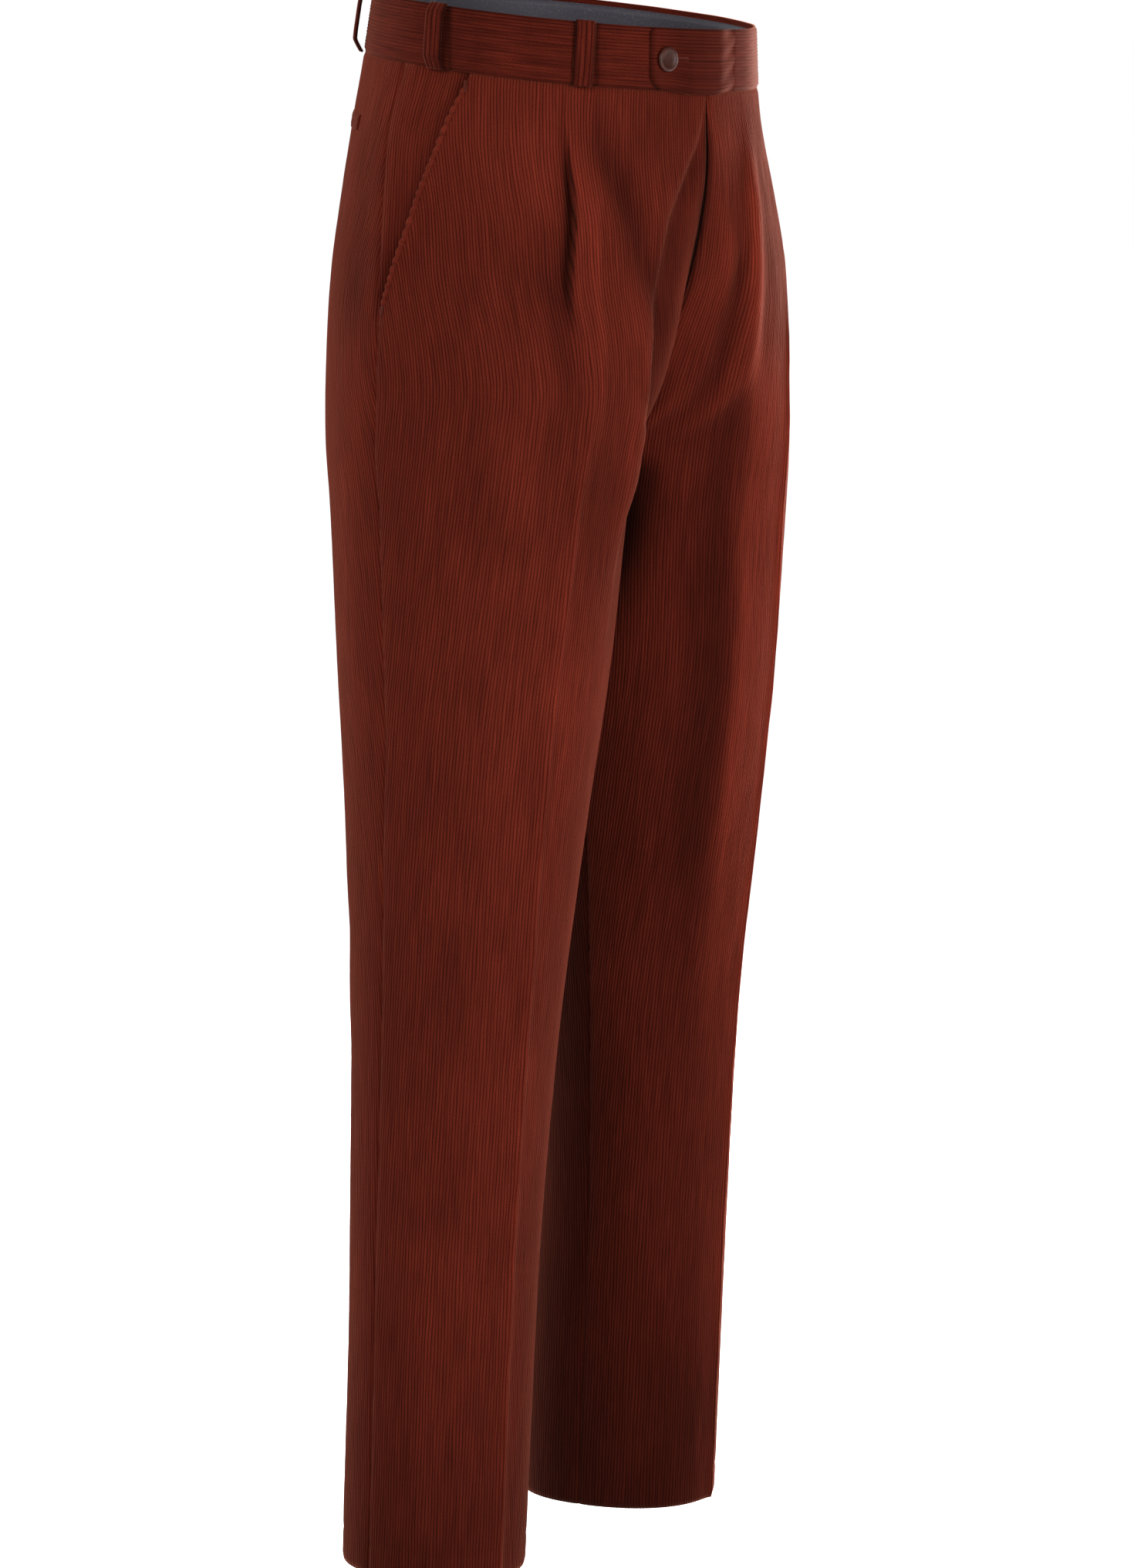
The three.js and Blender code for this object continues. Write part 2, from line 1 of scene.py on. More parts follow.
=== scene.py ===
# Corduroy trousers: fine cloth shells on the frame's sections, with wales, creases, folds and trims.
# Lengths are in millimetres until a mesh is made, where MM turns them into metres.
import math
import bmesh
import bpy
import numpy as np
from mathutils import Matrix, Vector


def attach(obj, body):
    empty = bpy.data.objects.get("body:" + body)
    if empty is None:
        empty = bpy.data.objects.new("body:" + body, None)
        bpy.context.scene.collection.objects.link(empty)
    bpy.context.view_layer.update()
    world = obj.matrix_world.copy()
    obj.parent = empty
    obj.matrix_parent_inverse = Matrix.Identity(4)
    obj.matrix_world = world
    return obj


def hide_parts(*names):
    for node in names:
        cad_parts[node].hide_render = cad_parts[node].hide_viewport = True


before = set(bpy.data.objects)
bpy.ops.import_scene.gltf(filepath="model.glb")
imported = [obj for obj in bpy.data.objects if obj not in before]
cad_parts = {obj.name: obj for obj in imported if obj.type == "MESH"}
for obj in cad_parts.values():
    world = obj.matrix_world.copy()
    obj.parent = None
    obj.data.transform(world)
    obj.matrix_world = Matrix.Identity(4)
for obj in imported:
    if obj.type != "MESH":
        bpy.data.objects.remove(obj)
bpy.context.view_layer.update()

MM = 0.001
RIGHT = -1
LEFT = 1
SIDES = ((RIGHT, "right"), (LEFT, "left"))

# Sizes of the garment
BAND_HEIGHT = 41
CROTCH_LEVEL = -292
HEM_LEVEL = -1058
HEM_TURN_UP = 42
HEM_PRESS_LINE = 21
SEAM_GAP = 0.01
STACK_GAP = 0.3
CLOTH_WALL = 1.3
HEM_WALL = 2.6
BAND_PROUD = 0.8
BAND_WALL = 2.2
LINING_WALL = 0.8
LINING_BELOW_EDGE = 3.5
LINING_DEPTH = 40.5
LINING_GAP = 0.7
LAYER_GAP = 1.3
POCKET_BOTTOM_LEVEL = -203
POCKET_UNDERLAY = 24
POCKET_SIDE_WALL = 1.2
TAB_REACH_RIGHT = 58.5
TAB_REACH_LEFT = 33.5
TAB_TOP_RADIUS = 5
TAB_BOTTOM_RADIUS = 11
TAB_DROP = 2.5
UNDERLAP_REACH = 20
FLY_BOTTOM_LEVEL = -214
LOOP_WIDTH = 13.5
LOOP_THICKNESS = 2.4
LOOP_STAND_OFF = 6
FRONT_LOOP_STAND_OFF = 2
BUTTON_DIAMETER = 16.5
BUTTON_ARC = 46
BUTTON_LEVEL = -20.5
WELT_LENGTH = 115
WELT_HEIGHT = 10
WELT_WALL = 1.2
WELT_LEVEL = -85
WELT_FROM_MIDDLE = 35
ZIP_HALF_WIDTH = 13
ZIP_WALL = 1.2
SHIELD_REACH_RIGHT = 34
SHIELD_REACH_LEFT = 16
SHIELD_WALL = 1.2

# Sizes of the corduroy
WALE_PITCH = 2.15
WALE_HEIGHT = 0.42
BAND_WALE_HEIGHT = 0.75
WALE_COLUMNS = 4

# Level sections of one half of the garment, x measured outwards from the middle.
# outer, inner: the side's and the inseam's x. frontCentre, backCentre: x of the foremost and rearmost places.
# front, back: their y. middle: y of the widest place. frontRound, backRound: 2 is an ellipse, more is square.
# tilt: degrees by which the section rises towards the back.
SECTION_COLUMNS = (
    "level", "outer", "inner", "frontCentre", "backCentre", "front", "back", "middle",
    "frontRound", "backRound", "tilt",
)
SECTIONS = (
    (0, 140, -140, 0, 0, -116, 116, 0, 2.2, 2.25, 7.5),
    (-45, 146, -134, 0, 0, -115, 123, 0, 2.2, 2.25, 7.5),
    (-85, 155, -112, 10, 0, -117, 128, 2, 2.1, 2.25, 6.6),
    (-130, 167, -80, 34, 10, -118, 130, 4, 1.98, 2.2, 5.4),
    (-180, 179, -52, 52, 32, -116.5, 128, 6, 1.98, 2.15, 3.9),
    (-240, 183, -26, 69, 62, -112.5, 121, 9, 2.05, 2.15, 2.2),
    (-292, 185, 0.4, 88, 90, -105.5, 112, 8, 2.1, 2.1, 0.7),
    (-340, 187.5, 5.5, 96, 97, -98, 104, 4, 2.1, 2.1, 0),
    (-430, 184.5, 15.5, 100, 100, -90, 99, 5, 2.1, 2.1, 0),
    (-560, 178, 34, 106, 106, -74, 91, 9, 2.1, 2.1, 0),
    (-700, 173, 47, 110, 110, -57, 88, 15, 2.1, 2.1, 0),
    (-860, 172, 56, 114, 114, -45, 89, 22, 2.1, 2.1, 0),
    (-1058, 171, 59, 115, 115, -35, 95, 30, 2.1, 2.1, 0),
)

# Lines on the cloth, as degrees round the section from its foremost place, outwards.
LINE_COLUMNS = ("level", "crease", "sideSeam", "backCrease")
LINES = (
    (0, 48.5, 100, 157),
    (-41, 48.5, 101.5, 156.6),
    (-80, 46.5, 103.2, 156.2),
    (-135, 38.5, 100, 158),
    (-180, 32.5, 97, 162.5),
    (-215, 26.5, 96, 167),
    (-264, 19.5, 96.5, 172),
    (-292, 17, 97.5, 174),
    (-340, 15, 96.8, 174),
    (-465, 18.5, 96.5, 172),
    (-560, 17, 99, 172),
    (-690, 13, 101, 172),
    (-860, 11, 102, 172),
    (-1058, 11, 102, 172),
)

# The slanted pocket mouth, as degrees round the section.
MOUTH_COLUMNS = ("level", "mouth")
MOUTH = (
    (-41, 79.2),
    (-68, 82.8),
    (-95, 85.2),
    (-128, 88.2),
    (-162, 91),
    (POCKET_BOTTOM_LEVEL, 96),
)

# The fold beside the fly on the wearer's right front: x from the middle, how far the cloth sinks inside it and
# how high it stands.
FLY_FOLD_COLUMNS = ("level", "x", "sink", "ridge")
FLY_FOLD = (
    (-41, 2, 0, 0),
    (-65, 9, 2, 1),
    (-102, 32, 5, 1.4),
    (-132, 49, 7, 1.6),
    (-173, 58, 8.5, 2.2),
    (-226, 64, 8.5, 4),
    (-285, 66, 7, 8),
    (-310, 68, 4, 8),
    (-340, 72, 1, 4),
    (-380, 78, 0, 1),
    (-430, 80, 0, 0),
)

# Soft folds. Each is a line between two places, with a level and an arc from the named reference at each end.
# height is out of the cloth, or into it where negative; near and far are its reaches on its two sides; bow
# bends it.
FOLD_COLUMNS = ("side", "reference", "level0", "arc0", "level1", "arc1", "height", "near", "far", "bow")
FOLDS = (
    ("left", "front", -62, 54, -290, 66, 4.6, 8, 12, 5),
    ("left", "front", -150, 40, -262, 46, -3.6, 8, 6, 3),
    ("left", "front", -120, 14, -290, 62, 2.2, 9, 9, -4),
    ("left", "crease", -130, -78, -310, -45, 1.5, 6, 14, 3),
    ("left", "crease", -230, -64, -700, -46, 2.2, 7, 15, -4),
    ("right", "crease", -50, -18, -236, -80, -3.6, 12, 12, 2),
    ("right", "crease", -95, -19, -310, -3, 1.5, 4, 5, 0),
    ("right", "crease", -185, 28, -340, 46, 1.8, 14, 20, 0),
    ("left", "front", -262, 12, -380, 44, -2.4, 8, 9, 4),
    ("left", "front", -236, 18, -352, 66, 2.0, 8, 8, 5),
    ("right", "front", -215, 84, -322, 110, -1.6, 8, 8, 6),
    ("right", "crease", -130, 22, -262, 14, -1.6, 8, 9, -3),
    ("right", "crease", -120, 46, -330, 30, -1.1, 26, 26, 6),
    ("right", "crease", -58, 26, -150, 20, 0.8, 12, 12, 0),
    ("left", "crease", -100, 40, -310, 30, -1.0, 24, 24, -5),
    ("both", "crease", -420, 52, -900, 40, -1.3, 22, 24, 4),
    ("both", "crease", -520, -26, -960, -20, -0.9, 14, 14, 3),
    ("right", "side", -70, 26, -240, 34, -1.2, 16, 16, 6),
    ("right", "side", -230, 22, -520, 30, 1.1, 20, 20, -6),
    ("left", "side", -80, 20, -300, 30, -1.2, 18, 18, 5),
    ("left", "side", -300, 28, -560, 24, 1.1, 18, 18, 4),
    ("right", "back", -120, -52, -235, -30, -1.8, 14, 14, 6),
    ("left", "back", -110, -44, -245, -34, -1.9, 14, 14, -6),
    ("right", "back", -262, -22, -330, -118, -2.4, 13, 16, -8),
    ("left", "back", -258, -20, -338, -110, -2.2, 13, 17, -9),
    ("right", "back", -300, -12, -372, -96, 1.6, 14, 14, -8),
    ("left", "back", -296, -14, -362, -88, 1.7, 14, 14, -7),
    ("right", "back", -340, -14, -430, -84, -1.5, 13, 14, -7),
    ("left", "back", -335, -14, -420, -76, -1.6, 13, 14, -7),
    ("right", "backCrease", -560, 26, -640, -40, -1.5, 16, 16, 6),
    ("left", "backCrease", -545, 24, -630, -44, -1.6, 16, 16, 7),
    ("right", "backCrease", -600, 30, -690, -30, 1.1, 14, 14, 6),
    ("left", "backCrease", -590, 30, -680, -34, 1.1, 14, 14, 6),
    ("both", "backCrease", -620, -34, -1000, -26, -1.0, 18, 18, 4),
    ("right", "backCrease", -760, 28, -1020, 22, 0.9, 14, 14, 4),
    ("left", "backCrease", -700, 30, -1000, 24, 0.9, 14, 14, -4),
)

# Belt loops, by degrees round the waist on each side, and the one at the middle of the back.
SIDE_LOOPS = (
    {"name": "front", "right": 43.3, "left": 61, "standOff": FRONT_LOOP_STAND_OFF},
    {"name": "side", "right": 90, "left": 90, "standOff": LOOP_STAND_OFF},
    {"name": "back", "right": 138, "left": 138, "standOff": LOOP_STAND_OFF},
)
MIDDLE_LOOP_ANGLE = 180
LOOP_TOP = {"right": 1.0, "left": -1.8}
# Rows are a level and a share of the full stand-off.
LOOP_PROFILE = (
    (0.5, 0), (-3, 0.55), (-7, 0.95), (-14, 1), (-26, 1), (-34, 0.95), (-38, 0.55), (-42, 0),
)

# Pressed creases: the levels between which each one fades out upwards.
CREASE_HEIGHT = 2.8
CREASE_REACH = 3.6
CREASE_FADE = (-225, -170)
BACK_CREASE_FADE = (CROTCH_LEVEL, CROTCH_LEVEL + 120)

# The pleat. Depths are below the top: two are a change, four a window that starts, is full, fades and ends.
PLEAT_OPEN = (52, 120, 160, 235)
PLEAT_STITCHED = (41, 46, 56, 72)
PLEAT_LIP_HEIGHT = 2.6
PLEAT_LIP_REACH = 13
PLEAT_WEDGE_DEPTH = 5.0
PLEAT_WIDTH = 3.5
PLEAT_WIDENING = 6.5
PLEAT_WIDENING_DEPTHS = (60, 190)
PLEAT_STEP = 1.8
PLEAT_STEP_GROWTH = 2.6
PLEAT_STEP_DEPTHS = (110, 205)
STITCHED_RIDGE_HEIGHT = 0.7
STITCHED_RIDGE_PLACE = -1.5
STITCHED_RIDGE_REACH = 3
STITCHED_GROOVE_DEPTH = 1.3
STITCHED_GROOVE_PLACE = 1.0
STITCHED_GROOVE_REACH = 1.6
# The open pleat first leans towards the fly, then away from it.
PLEAT_LEAN = 4
PLEAT_LEAN_DEPTHS = (50, 90)
PLEAT_DRIFT = 12
PLEAT_DRIFT_DEPTHS = (100, 225)

# The fold beside the fly: its soft inner edge, where it is shut, its trough, and the reaches of its crest.
FLY_FOLD_INNER = 10
FLY_FOLD_OUTER = 1
FLY_FOLD_SHUT = (150, 215)
FLY_TROUGH_SHARE = 0.28
FLY_TROUGH_REACH = 15
FLY_TROUGH_PART = 0.7
FLY_INSIDE_PART = 0.32
FLY_CREST_REACHES = (5, 15)
FRONT_OF_BODY = (-10, 40)

# The left front's lap over the fly.
LAP_HEIGHT = 0.9
LAP_FADE = (FLY_BOTTOM_LEVEL - 40, FLY_BOTTOM_LEVEL + 10)
LAP_EDGE = (4, 34)

# The left leg is fuller behind its inseam near the hem, at an angle round the section.
HEM_FULLNESS = 12.5
HEM_FULL_ANGLE = 216
HEM_FULL_REACH = 58
HEM_FULL_DEPTHS = (700, 1030)

# Soft folds rise and fall along their length, as shares of it.
FOLD_RISE = (-0.08, 0.3)
FOLD_FALL = (0.62, 1.08)

# Places where the cloth turns in, each as a depth and a reach.
SEAM_GROOVE = (0.9, 1.6)
SEAM_HOLLOW = (0.25, 5)
PANEL_TOP_GROOVE = (0.9, 1.8)
HEM_LINE_GROOVE = (0.35, 2.2)
HEM_EDGE_GROOVE = (0.8, 2.0)
BAND_EDGE_GROOVE = (1.1, 1.6)
TAB_END_GROOVE = (1.2, 1.5)
TAB_SEAM_GROOVE = (0.125, 2.0)
BAND_JOIN_GROOVE = (0.15, 2.2)
LOOP_EDGE_GROOVE = (1.5, 1.5)
WELT_TOP_GROOVE = (0.5, 1.2)
WELT_BOTTOM_GROOVE = (0.3, 1.2)

# The pocket mouth and the cloth behind it.
MOUTH_GAPE = 2.6
MOUTH_GAPE_REACH = 7
MOUTH_GAPE_DEPTHS = (48, 75, 150, 200)
MOUTH_EDGE_DEPTHS = (49, 54, 190, 202)
MOUTH_TOP_LEVEL = -49
MOUTH_ROWS = 260
MOUTH_EDGE_WIDTH = 3.0
MOUTH_SCALLOP = 1.2
SCALLOP_SHARE = 0.68
POCKET_SIDE_BOTTOM = -214
BARTACK_TOP_LEVEL = -50.0
BARTACK_TOP_LENGTH = 7.0
BARTACK_BOTTOM_LEVEL = POCKET_BOTTOM_LEVEL + 3.0
BARTACK_BOTTOM_LENGTH = 6.0
BARTACK_HALF_WIDTH = 1.1
BARTACK_STITCHES = 15
STITCH_RADIUS = 0.22
HOLE_LENGTH = 11
HOLE_STITCHES = 40
HOLE_STITCH_RADIUS = 0.26
HOLE_STITCH_RISES = (0.35, 1.9)

# The waistband, its joins and the strips behind the fly.
BAND_BOTTOM = -BAND_HEIGHT
TAB_OVER = BAND_PROUD + STACK_GAP + BAND_WALL
UNDERLAP_SINK = 1.3
UNDERLAP_SINK_LENGTH = 14
TAB_JOIN_LENGTH = 11
BAND_LUMPS = 0.35
# The band's edges and both sides of each loop are painted darker: painted shade.
BAND_DIM = 0.35
BAND_DIM_REACH = 1.5
LOOP_SHADE = 0.55
LOOP_SHADE_REACH = 1.7
STRIP_TOP = -37
STRIP_BOTTOM = FLY_BOTTOM_LEVEL + 6
BEHIND_CLOTH = CLOTH_WALL + LAYER_GAP + STACK_GAP
SHIELD_DEPTH = BEHIND_CLOTH + ZIP_WALL + LAYER_GAP

# How finely the shells are made.
LEVEL_STEP = 0.75
ARC_STEP = 0.6
EDGE_BLEND = 14
INNER_COLUMNS = 24
LOOP_WALES = 4
LOOP_WALE_COLUMNS = 6
LOOP_WALE_HEIGHT = 0.6
LOOP_ROWS = 40
BUTTON_STEPS = 64

# Looks. The painted light and shade multiplies the cloth's colour; pile runs from a valley at 0 to a ridge at
# 1.
VALLEY = (0.047, 0.0048, 0.0023)
RIDGE = (0.138, 0.0176, 0.0091)
PILE_COLOUR_SPAN = (0.05, 0.95)
PILE_BUMP = (0.35, 0.0003)
PILE_FINISH = {
    "Roughness": 0.9, "Specular IOR Level": 0.03, "Sheen Roughness": 0.4, "Sheen Tint": (1.0, 0.30, 0.18, 1),
}
BAND_SHADE = 0.66
TWILL_DARK = (0.022, 0.020, 0.029, 1)
TWILL_LIGHT = (0.105, 0.095, 0.120, 1)
TWILL_SLANT = math.radians(38)
TWILL_BUMP = (0.3, 0.0002)
TWILL_FINISH = {"Roughness": 0.6, "Sheen Weight": 0.15}
BUTTON_DARK = (0.028, 0.0075, 0.0045, 1)
BUTTON_LIGHT = (0.080, 0.020, 0.011, 1)
BUTTON_COLOUR_SPAN = (0.3, 0.75)
BUTTON_FINISH = {"Roughness": 0.35, "Specular IOR Level": 0.2}
THREAD_FINISH = {"Roughness": 0.8, "Specular IOR Level": 0.15}
INNER_PILE = 0.7
# The inside faces are painted twice as bright: painted light inside the trousers.
INNER_PAINTED_LIGHT = 2.0
PILE_MIDDLE = 0.6
# How strongly a fold's height paints its ridge lighter and its trough darker: painted light and shade.
PAINTED_FOLD_GAIN = 0.10
PAINTED_SOFT_FOLD_GAIN = 0.08
PAINTED_FOLD_LIMIT = 4
# The legs are painted darker towards the hems: painted shade.
HEM_PAINTED_SHADE = 0.26
HEM_PAINTED_SHADE_DEPTHS = (850, 1040)
LEFT_HEM_PAINTED_SHADE = 0.3
LEFT_HEM_PAINTED_SHADE_DEPTHS = (860, 1000)

# Noise in the pile. "cloth" counts wales, "object" is in metres; spread is the noise's range that is used;
# share says how much of the unevenness it brings.
PILE_NOISE_COLUMNS = ("name", "place", "stretch", "scale", "detail", "roughness", "spread", "share")
PILE_NOISE = (
    ("streak", "cloth", (1.1, 0.05, 1), 1.0, 3.0, 0.6, (0.25, 0.75), 1.1),
    ("tuft", "cloth", (3.0, 2.2, 1), 1.0, 4.0, 0.7, (0.25, 0.75), 1.3),
    ("cloud", "object", (1, 1, 1), 7.0, 3.0, 0.55, (0.3, 0.7), 0.5),
    ("brushed", "object", (38.0, 38.0, 11.0), 1.0, 3.0, 0.6, (0.3, 0.7), 0.4),
)

# Painted light on the panels: rows painted lighter than the rest as painted highlights, or darker as painted
# shade.
# A row lies at an arc from its reference between four depths, with a soft reach to both sides, and gain is how
# much lighter it is.
# Columns: panel, reference, depths, arc, reach, gain.
PAINTED_LIGHT_ROWS = (
    ("front_right", "pleat", (60, 120, 168, 216), 3.5, 4, -0.62),
    ("front_right", "front", (50, 70, 150, 210), 0, 4, -0.5),
    ("front_right", "front", (90, 130, 165, 210), 17, 15, 0.4),
    ("front_right", "crease", (420, 600, 740, 900), 34, 30, 0.28),
    ("front_left", "front", (50, 80, 170, 230), 0, 3, -0.55),
    ("front_left", "front", (50, 80, 170, 230), 20, 13, 0.3),
)

# The same for one side of a line: nothing at the arc start, all of the gain from the arc full onwards.
# Columns: panel, reference, depths, start, full, gain.
PAINTED_LIGHT_SIDES = (
    ("front_right", "crease", (380, 450, 720, 860), 0, -10, 0.34),
    ("front_right", "crease", (270, 310, 345, 390), 0, -14, -0.12),
    ("front_left", "turn", (42, 70, 200, 250), 0, 16, -0.2),
    ("front_left", "front", (640, 800, 1100, 1200), 45, 0, -0.35),
    ("back_left", "back", (270, 420, 1100, 1200), -85, -40, -0.6),
)

# Where the painted light on the left front changes, as arcs from its crease.
LEFT_TURN_COLUMNS = ("level", "arc")
LEFT_TURN = ((-150, -78), (-220, -60), (-300, -50), (-440, -50), (-640, -42), (-860, -26), (-1058, -20))

# The stage
FLOOR_LEVEL = -1.12
FLOOR_HALF = 30
FLOOR_GLOW = 1.0
AMBIENT_STRENGTH = 0.12

# Area lights: degrees round from the front and up, distance, size, power and the height they are aimed at.
LIGHTS = (
    ("side", -95, 26, 2.4, 1.1, 24, -0.45),
    ("near", -45, 14, 2.6, 1.2, 8, -0.65),
    ("front", -8, 14, 2.6, 1.2, 40, -0.6),
    ("rim", 95, 10, 2.6, 1.2, 120, -0.6),
    ("back", 185, 20, 2.8, 1.2, 34, -0.5),
)

# Camera, as level distance, height and angles found for the photograph's view.
CAMERA_AZIMUTH = math.radians(54)
CAMERA_PITCH = math.radians(7.57)
CAMERA_DISTANCE = 3.5
CAMERA_HEIGHT = -0.0645
LENS = 162.44
SENSOR_WIDTH = 36
VIEW_END = 100


def smooth(value, low, high):
    t = np.clip((value - low) / (high - low), 0, 1)
    return t * t * (3 - 2 * t)


def bell(distance, reach):
    return np.exp(-((distance / reach) ** 2))


def between(level, start, full, fading, end):
    """1 between two levels, fading to 0 above and below them. Levels are given as depths below the top."""
    return smooth(-level, start, full) * (1 - smooth(-level, fading, end))


def groove(distance, depth, reach):
    """How far the cloth turns in beside a line."""
    return -depth * bell(distance, reach)


def monotone_curve(x, y):
    """A smooth curve through the rows that never overshoots them (monotone cubic)."""
    slope = np.diff(y) / np.diff(x)
    tangent = np.zeros(len(x))
    tangent[0] = slope[0]
    tangent[-1] = slope[-1]
    for i in range(1, len(x) - 1):
        if slope[i - 1] * slope[i] > 0:
            before = x[i] - x[i - 1]
            after = x[i + 1] - x[i]
            w1 = 2 * after + before
            w2 = after + 2 * before
            tangent[i] = (w1 + w2) / (w1 / slope[i - 1] + w2 / slope[i])

    def at(value):
        v = np.clip(value, x[0], x[-1])
        i = np.clip(np.searchsorted(x, v, side="left") - 1, 0, len(x) - 2)
        h = x[i + 1] - x[i]
        t = (v - x[i]) / h
        t2 = t * t
        t3 = t2 * t
        return (
            (2 * t3 - 3 * t2 + 1) * y[i] + (t3 - 2 * t2 + t) * h * tangent[i]
            + (3 * t2 - 2 * t3) * y[i + 1] + (t3 - t2) * h * tangent[i + 1]
        )

    return at


def column_curves(rows, columns):
    table = np.array(sorted(rows), dtype=float)
    return {name: monotone_curve(table[:, 0], table[:, k]) for k, name in enumerate(columns) if k > 0}


section = column_curves(SECTIONS, SECTION_COLUMNS)
line = column_curves(LINES, LINE_COLUMNS)
mouth = column_curves(MOUTH, MOUTH_COLUMNS)["mouth"]
fly_fold = column_curves(FLY_FOLD, FLY_FOLD_COLUMNS)
left_turn = column_curves(LEFT_TURN, LEFT_TURN_COLUMNS)["arc"]

RING_DEGREES = np.linspace(-90, 270, 1081)


class Ring:
    """One half section: places round it, and arc lengths from its foremost place outwards to the back."""

    def __init__(self, level):
        at = {name: float(curve(level)) for name, curve in section.items()}
        angle = np.radians(RING_DEGREES)
        s = np.sin(angle)
        c = np.cos(angle)
        power = 2 / np.where(c > 0, at["frontRound"], at["backRound"])
        sideways = np.sign(s) * np.abs(s) ** power
        forwards = np.sign(c) * np.abs(c) ** power
        centre = np.where(c > 0, at["frontCentre"], at["backCentre"])
        half_width = np.where(s > 0, at["outer"] - centre, centre - at["inner"])
        half_depth = np.where(c > 0, at["middle"] - at["front"], at["back"] - at["middle"])
        x = centre + half_width * sideways
        y = at["middle"] - half_depth * forwards
        degrees = RING_DEGREES
        if x[0] < 0:
            kept = np.nonzero(x >= 0)[0]
            first, last = kept[0], kept[-1]
            t0 = -x[first - 1] / (x[first] - x[first - 1])
            t1 = x[last] / (x[last] - x[last + 1])
            ends = ((first - 1, first, t0), (last, last + 1, t1))
            y_ends = [y[a] + (y[b] - y[a]) * t for a, b, t in ends]
            d_ends = [degrees[a] + (degrees[b] - degrees[a]) * t for a, b, t in ends]
            x = np.concatenate(([0], x[first:last + 1], [0]))
            y = np.concatenate(([y_ends[0]], y[first:last + 1], [y_ends[1]]))
            degrees = np.concatenate(([d_ends[0]], degrees[first:last + 1], [d_ends[1]]))
        arcs = np.concatenate(([0], np.cumsum(np.hypot(np.diff(x), np.diff(y)))))
        self.level = level
        self.x = x
        self.y = y
        self.degrees = degrees
        self.arcs = arcs - np.interp(0, degrees, arcs)
        self.rise = math.tan(math.radians(at["tilt"]))

    def at_angle(self, degrees):
        return float(np.interp(degrees, self.degrees, self.arcs))

    def points(self, arcs):
        x = np.interp(arcs, self.arcs, self.x)
        y = np.interp(arcs, self.arcs, self.y)
        return np.stack((x, y, self.level + self.rise * y), axis=-1)


ring_cache = {}


def ring(level):
    key = round(float(level), 4)
    if key not in ring_cache:
        ring_cache[key] = Ring(key)
    return ring_cache[key]


def front_edge(level):
    return float(ring(level).arcs[0])


def back_edge(level):
    return float(ring(level).arcs[-1])


def crease_arc(level):
    return ring(level).at_angle(float(line["crease"](level)))


def side_seam(level):
    return ring(level).at_angle(float(line["sideSeam"](level)))


def back_crease(level):
    return ring(level).at_angle(float(line["backCrease"](level)))


def mouth_arc(level):
    return ring(level).at_angle(float(mouth(level)))


REFERENCES = {
    "front": front_edge, "crease": crease_arc, "side": side_seam, "back": back_edge,
    "backCrease": back_crease,
}


def unit(vectors):
    return vectors / np.linalg.norm(vectors, axis=-1, keepdims=True)


def normals(level, arcs):
    """The way out of the cloth. Along the middle seams it stays in the plane between the two halves."""
    here = ring(level)
    first, last = here.arcs[0], here.arcs[-1]
    a = np.clip(arcs, first + ARC_STEP, last - ARC_STEP)
    share = (a - first) / (last - first)
    above = ring(min(level + LEVEL_STEP, 0))
    below = ring(level - LEVEL_STEP)
    along = here.points(a + ARC_STEP) - here.points(a - ARC_STEP)
    up_point = above.points(above.arcs[0] + share * (above.arcs[-1] - above.arcs[0]))
    down_point = below.points(below.arcs[0] + share * (below.arcs[-1] - below.arcs[0]))
    normal = unit(np.cross(along, up_point - down_point))
    if level <= CROTCH_LEVEL:
        return normal
    lower = ring(max(level - LEVEL_STEP, CROTCH_LEVEL + 0.01))
    upper = ring(min(level + LEVEL_STEP, 0))
    front_down = lower.points(lower.arcs[:1])[0] - upper.points(upper.arcs[:1])[0]
    back_down = lower.points(lower.arcs[-1:])[0] - upper.points(upper.arcs[-1:])[0]
    front_out = unit(np.array([0, front_down[2], -front_down[1]]))
    back_out = unit(np.array([0, -back_down[2], back_down[1]]))
    at_front = (arcs - first < last - arcs)[:, None]
    edge_out = np.where(at_front, front_out, back_out)
    blend = smooth(np.minimum(arcs - first, last - arcs), 0, EDGE_BLEND)[:, None]
    return unit(edge_out * (1 - blend) + normal * blend)


def placed(side, level, arcs, out):
    """Points on one side of the body, moved out by a distance, kept clear of the middle plane."""
    arcs = np.asarray(arcs, dtype=float)
    p = ring(level).points(arcs) + normals(level, arcs) * np.asarray(out, dtype=float)[..., None]
    p[:, 0] = side * np.maximum(p[:, 0], 0)
    return p


def pleat_shift(level):
    """How far the pleat's edge lies from the crease."""
    return PLEAT_DRIFT * smooth(-level, *PLEAT_DRIFT_DEPTHS) - PLEAT_LEAN * smooth(-level, *PLEAT_LEAN_DEPTHS)


fold_rows = [dict(zip(FOLD_COLUMNS, row)) for row in FOLDS]


def folds(side, level, arcs):
    """Height of the soft folds that cross a level."""
    word = "right" if side == RIGHT else "left"
    total = np.zeros(len(arcs))
    for fold in fold_rows:
        if fold["side"] not in (word, "both"):
            continue
        reach = max(fold["near"], fold["far"])
        high = fold["level0"] + 2 * reach
        low = fold["level1"] - 2 * reach
        if not low < level < high:
            continue
        arc = arcs - REFERENCES[fold["reference"]](level)
        along = np.array([fold["level1"] - fold["level0"], fold["arc1"] - fold["arc0"]], dtype=float)
        length = np.hypot(*along)
        along /= length
        down = level - fold["level0"]
        across = arc - fold["arc0"]
        t = (down * along[0] + across * along[1]) / length
        distance = across * along[0] - down * along[1]
        distance = distance - fold["bow"] * 4 * np.clip(t, 0, 1) * (1 - np.clip(t, 0, 1))
        width = np.where(distance > 0, fold["near"], fold["far"])
        ends = smooth(t, *FOLD_RISE) * (1 - smooth(t, *FOLD_FALL))
        total += fold["height"] * ends * bell(distance, width)
    return total


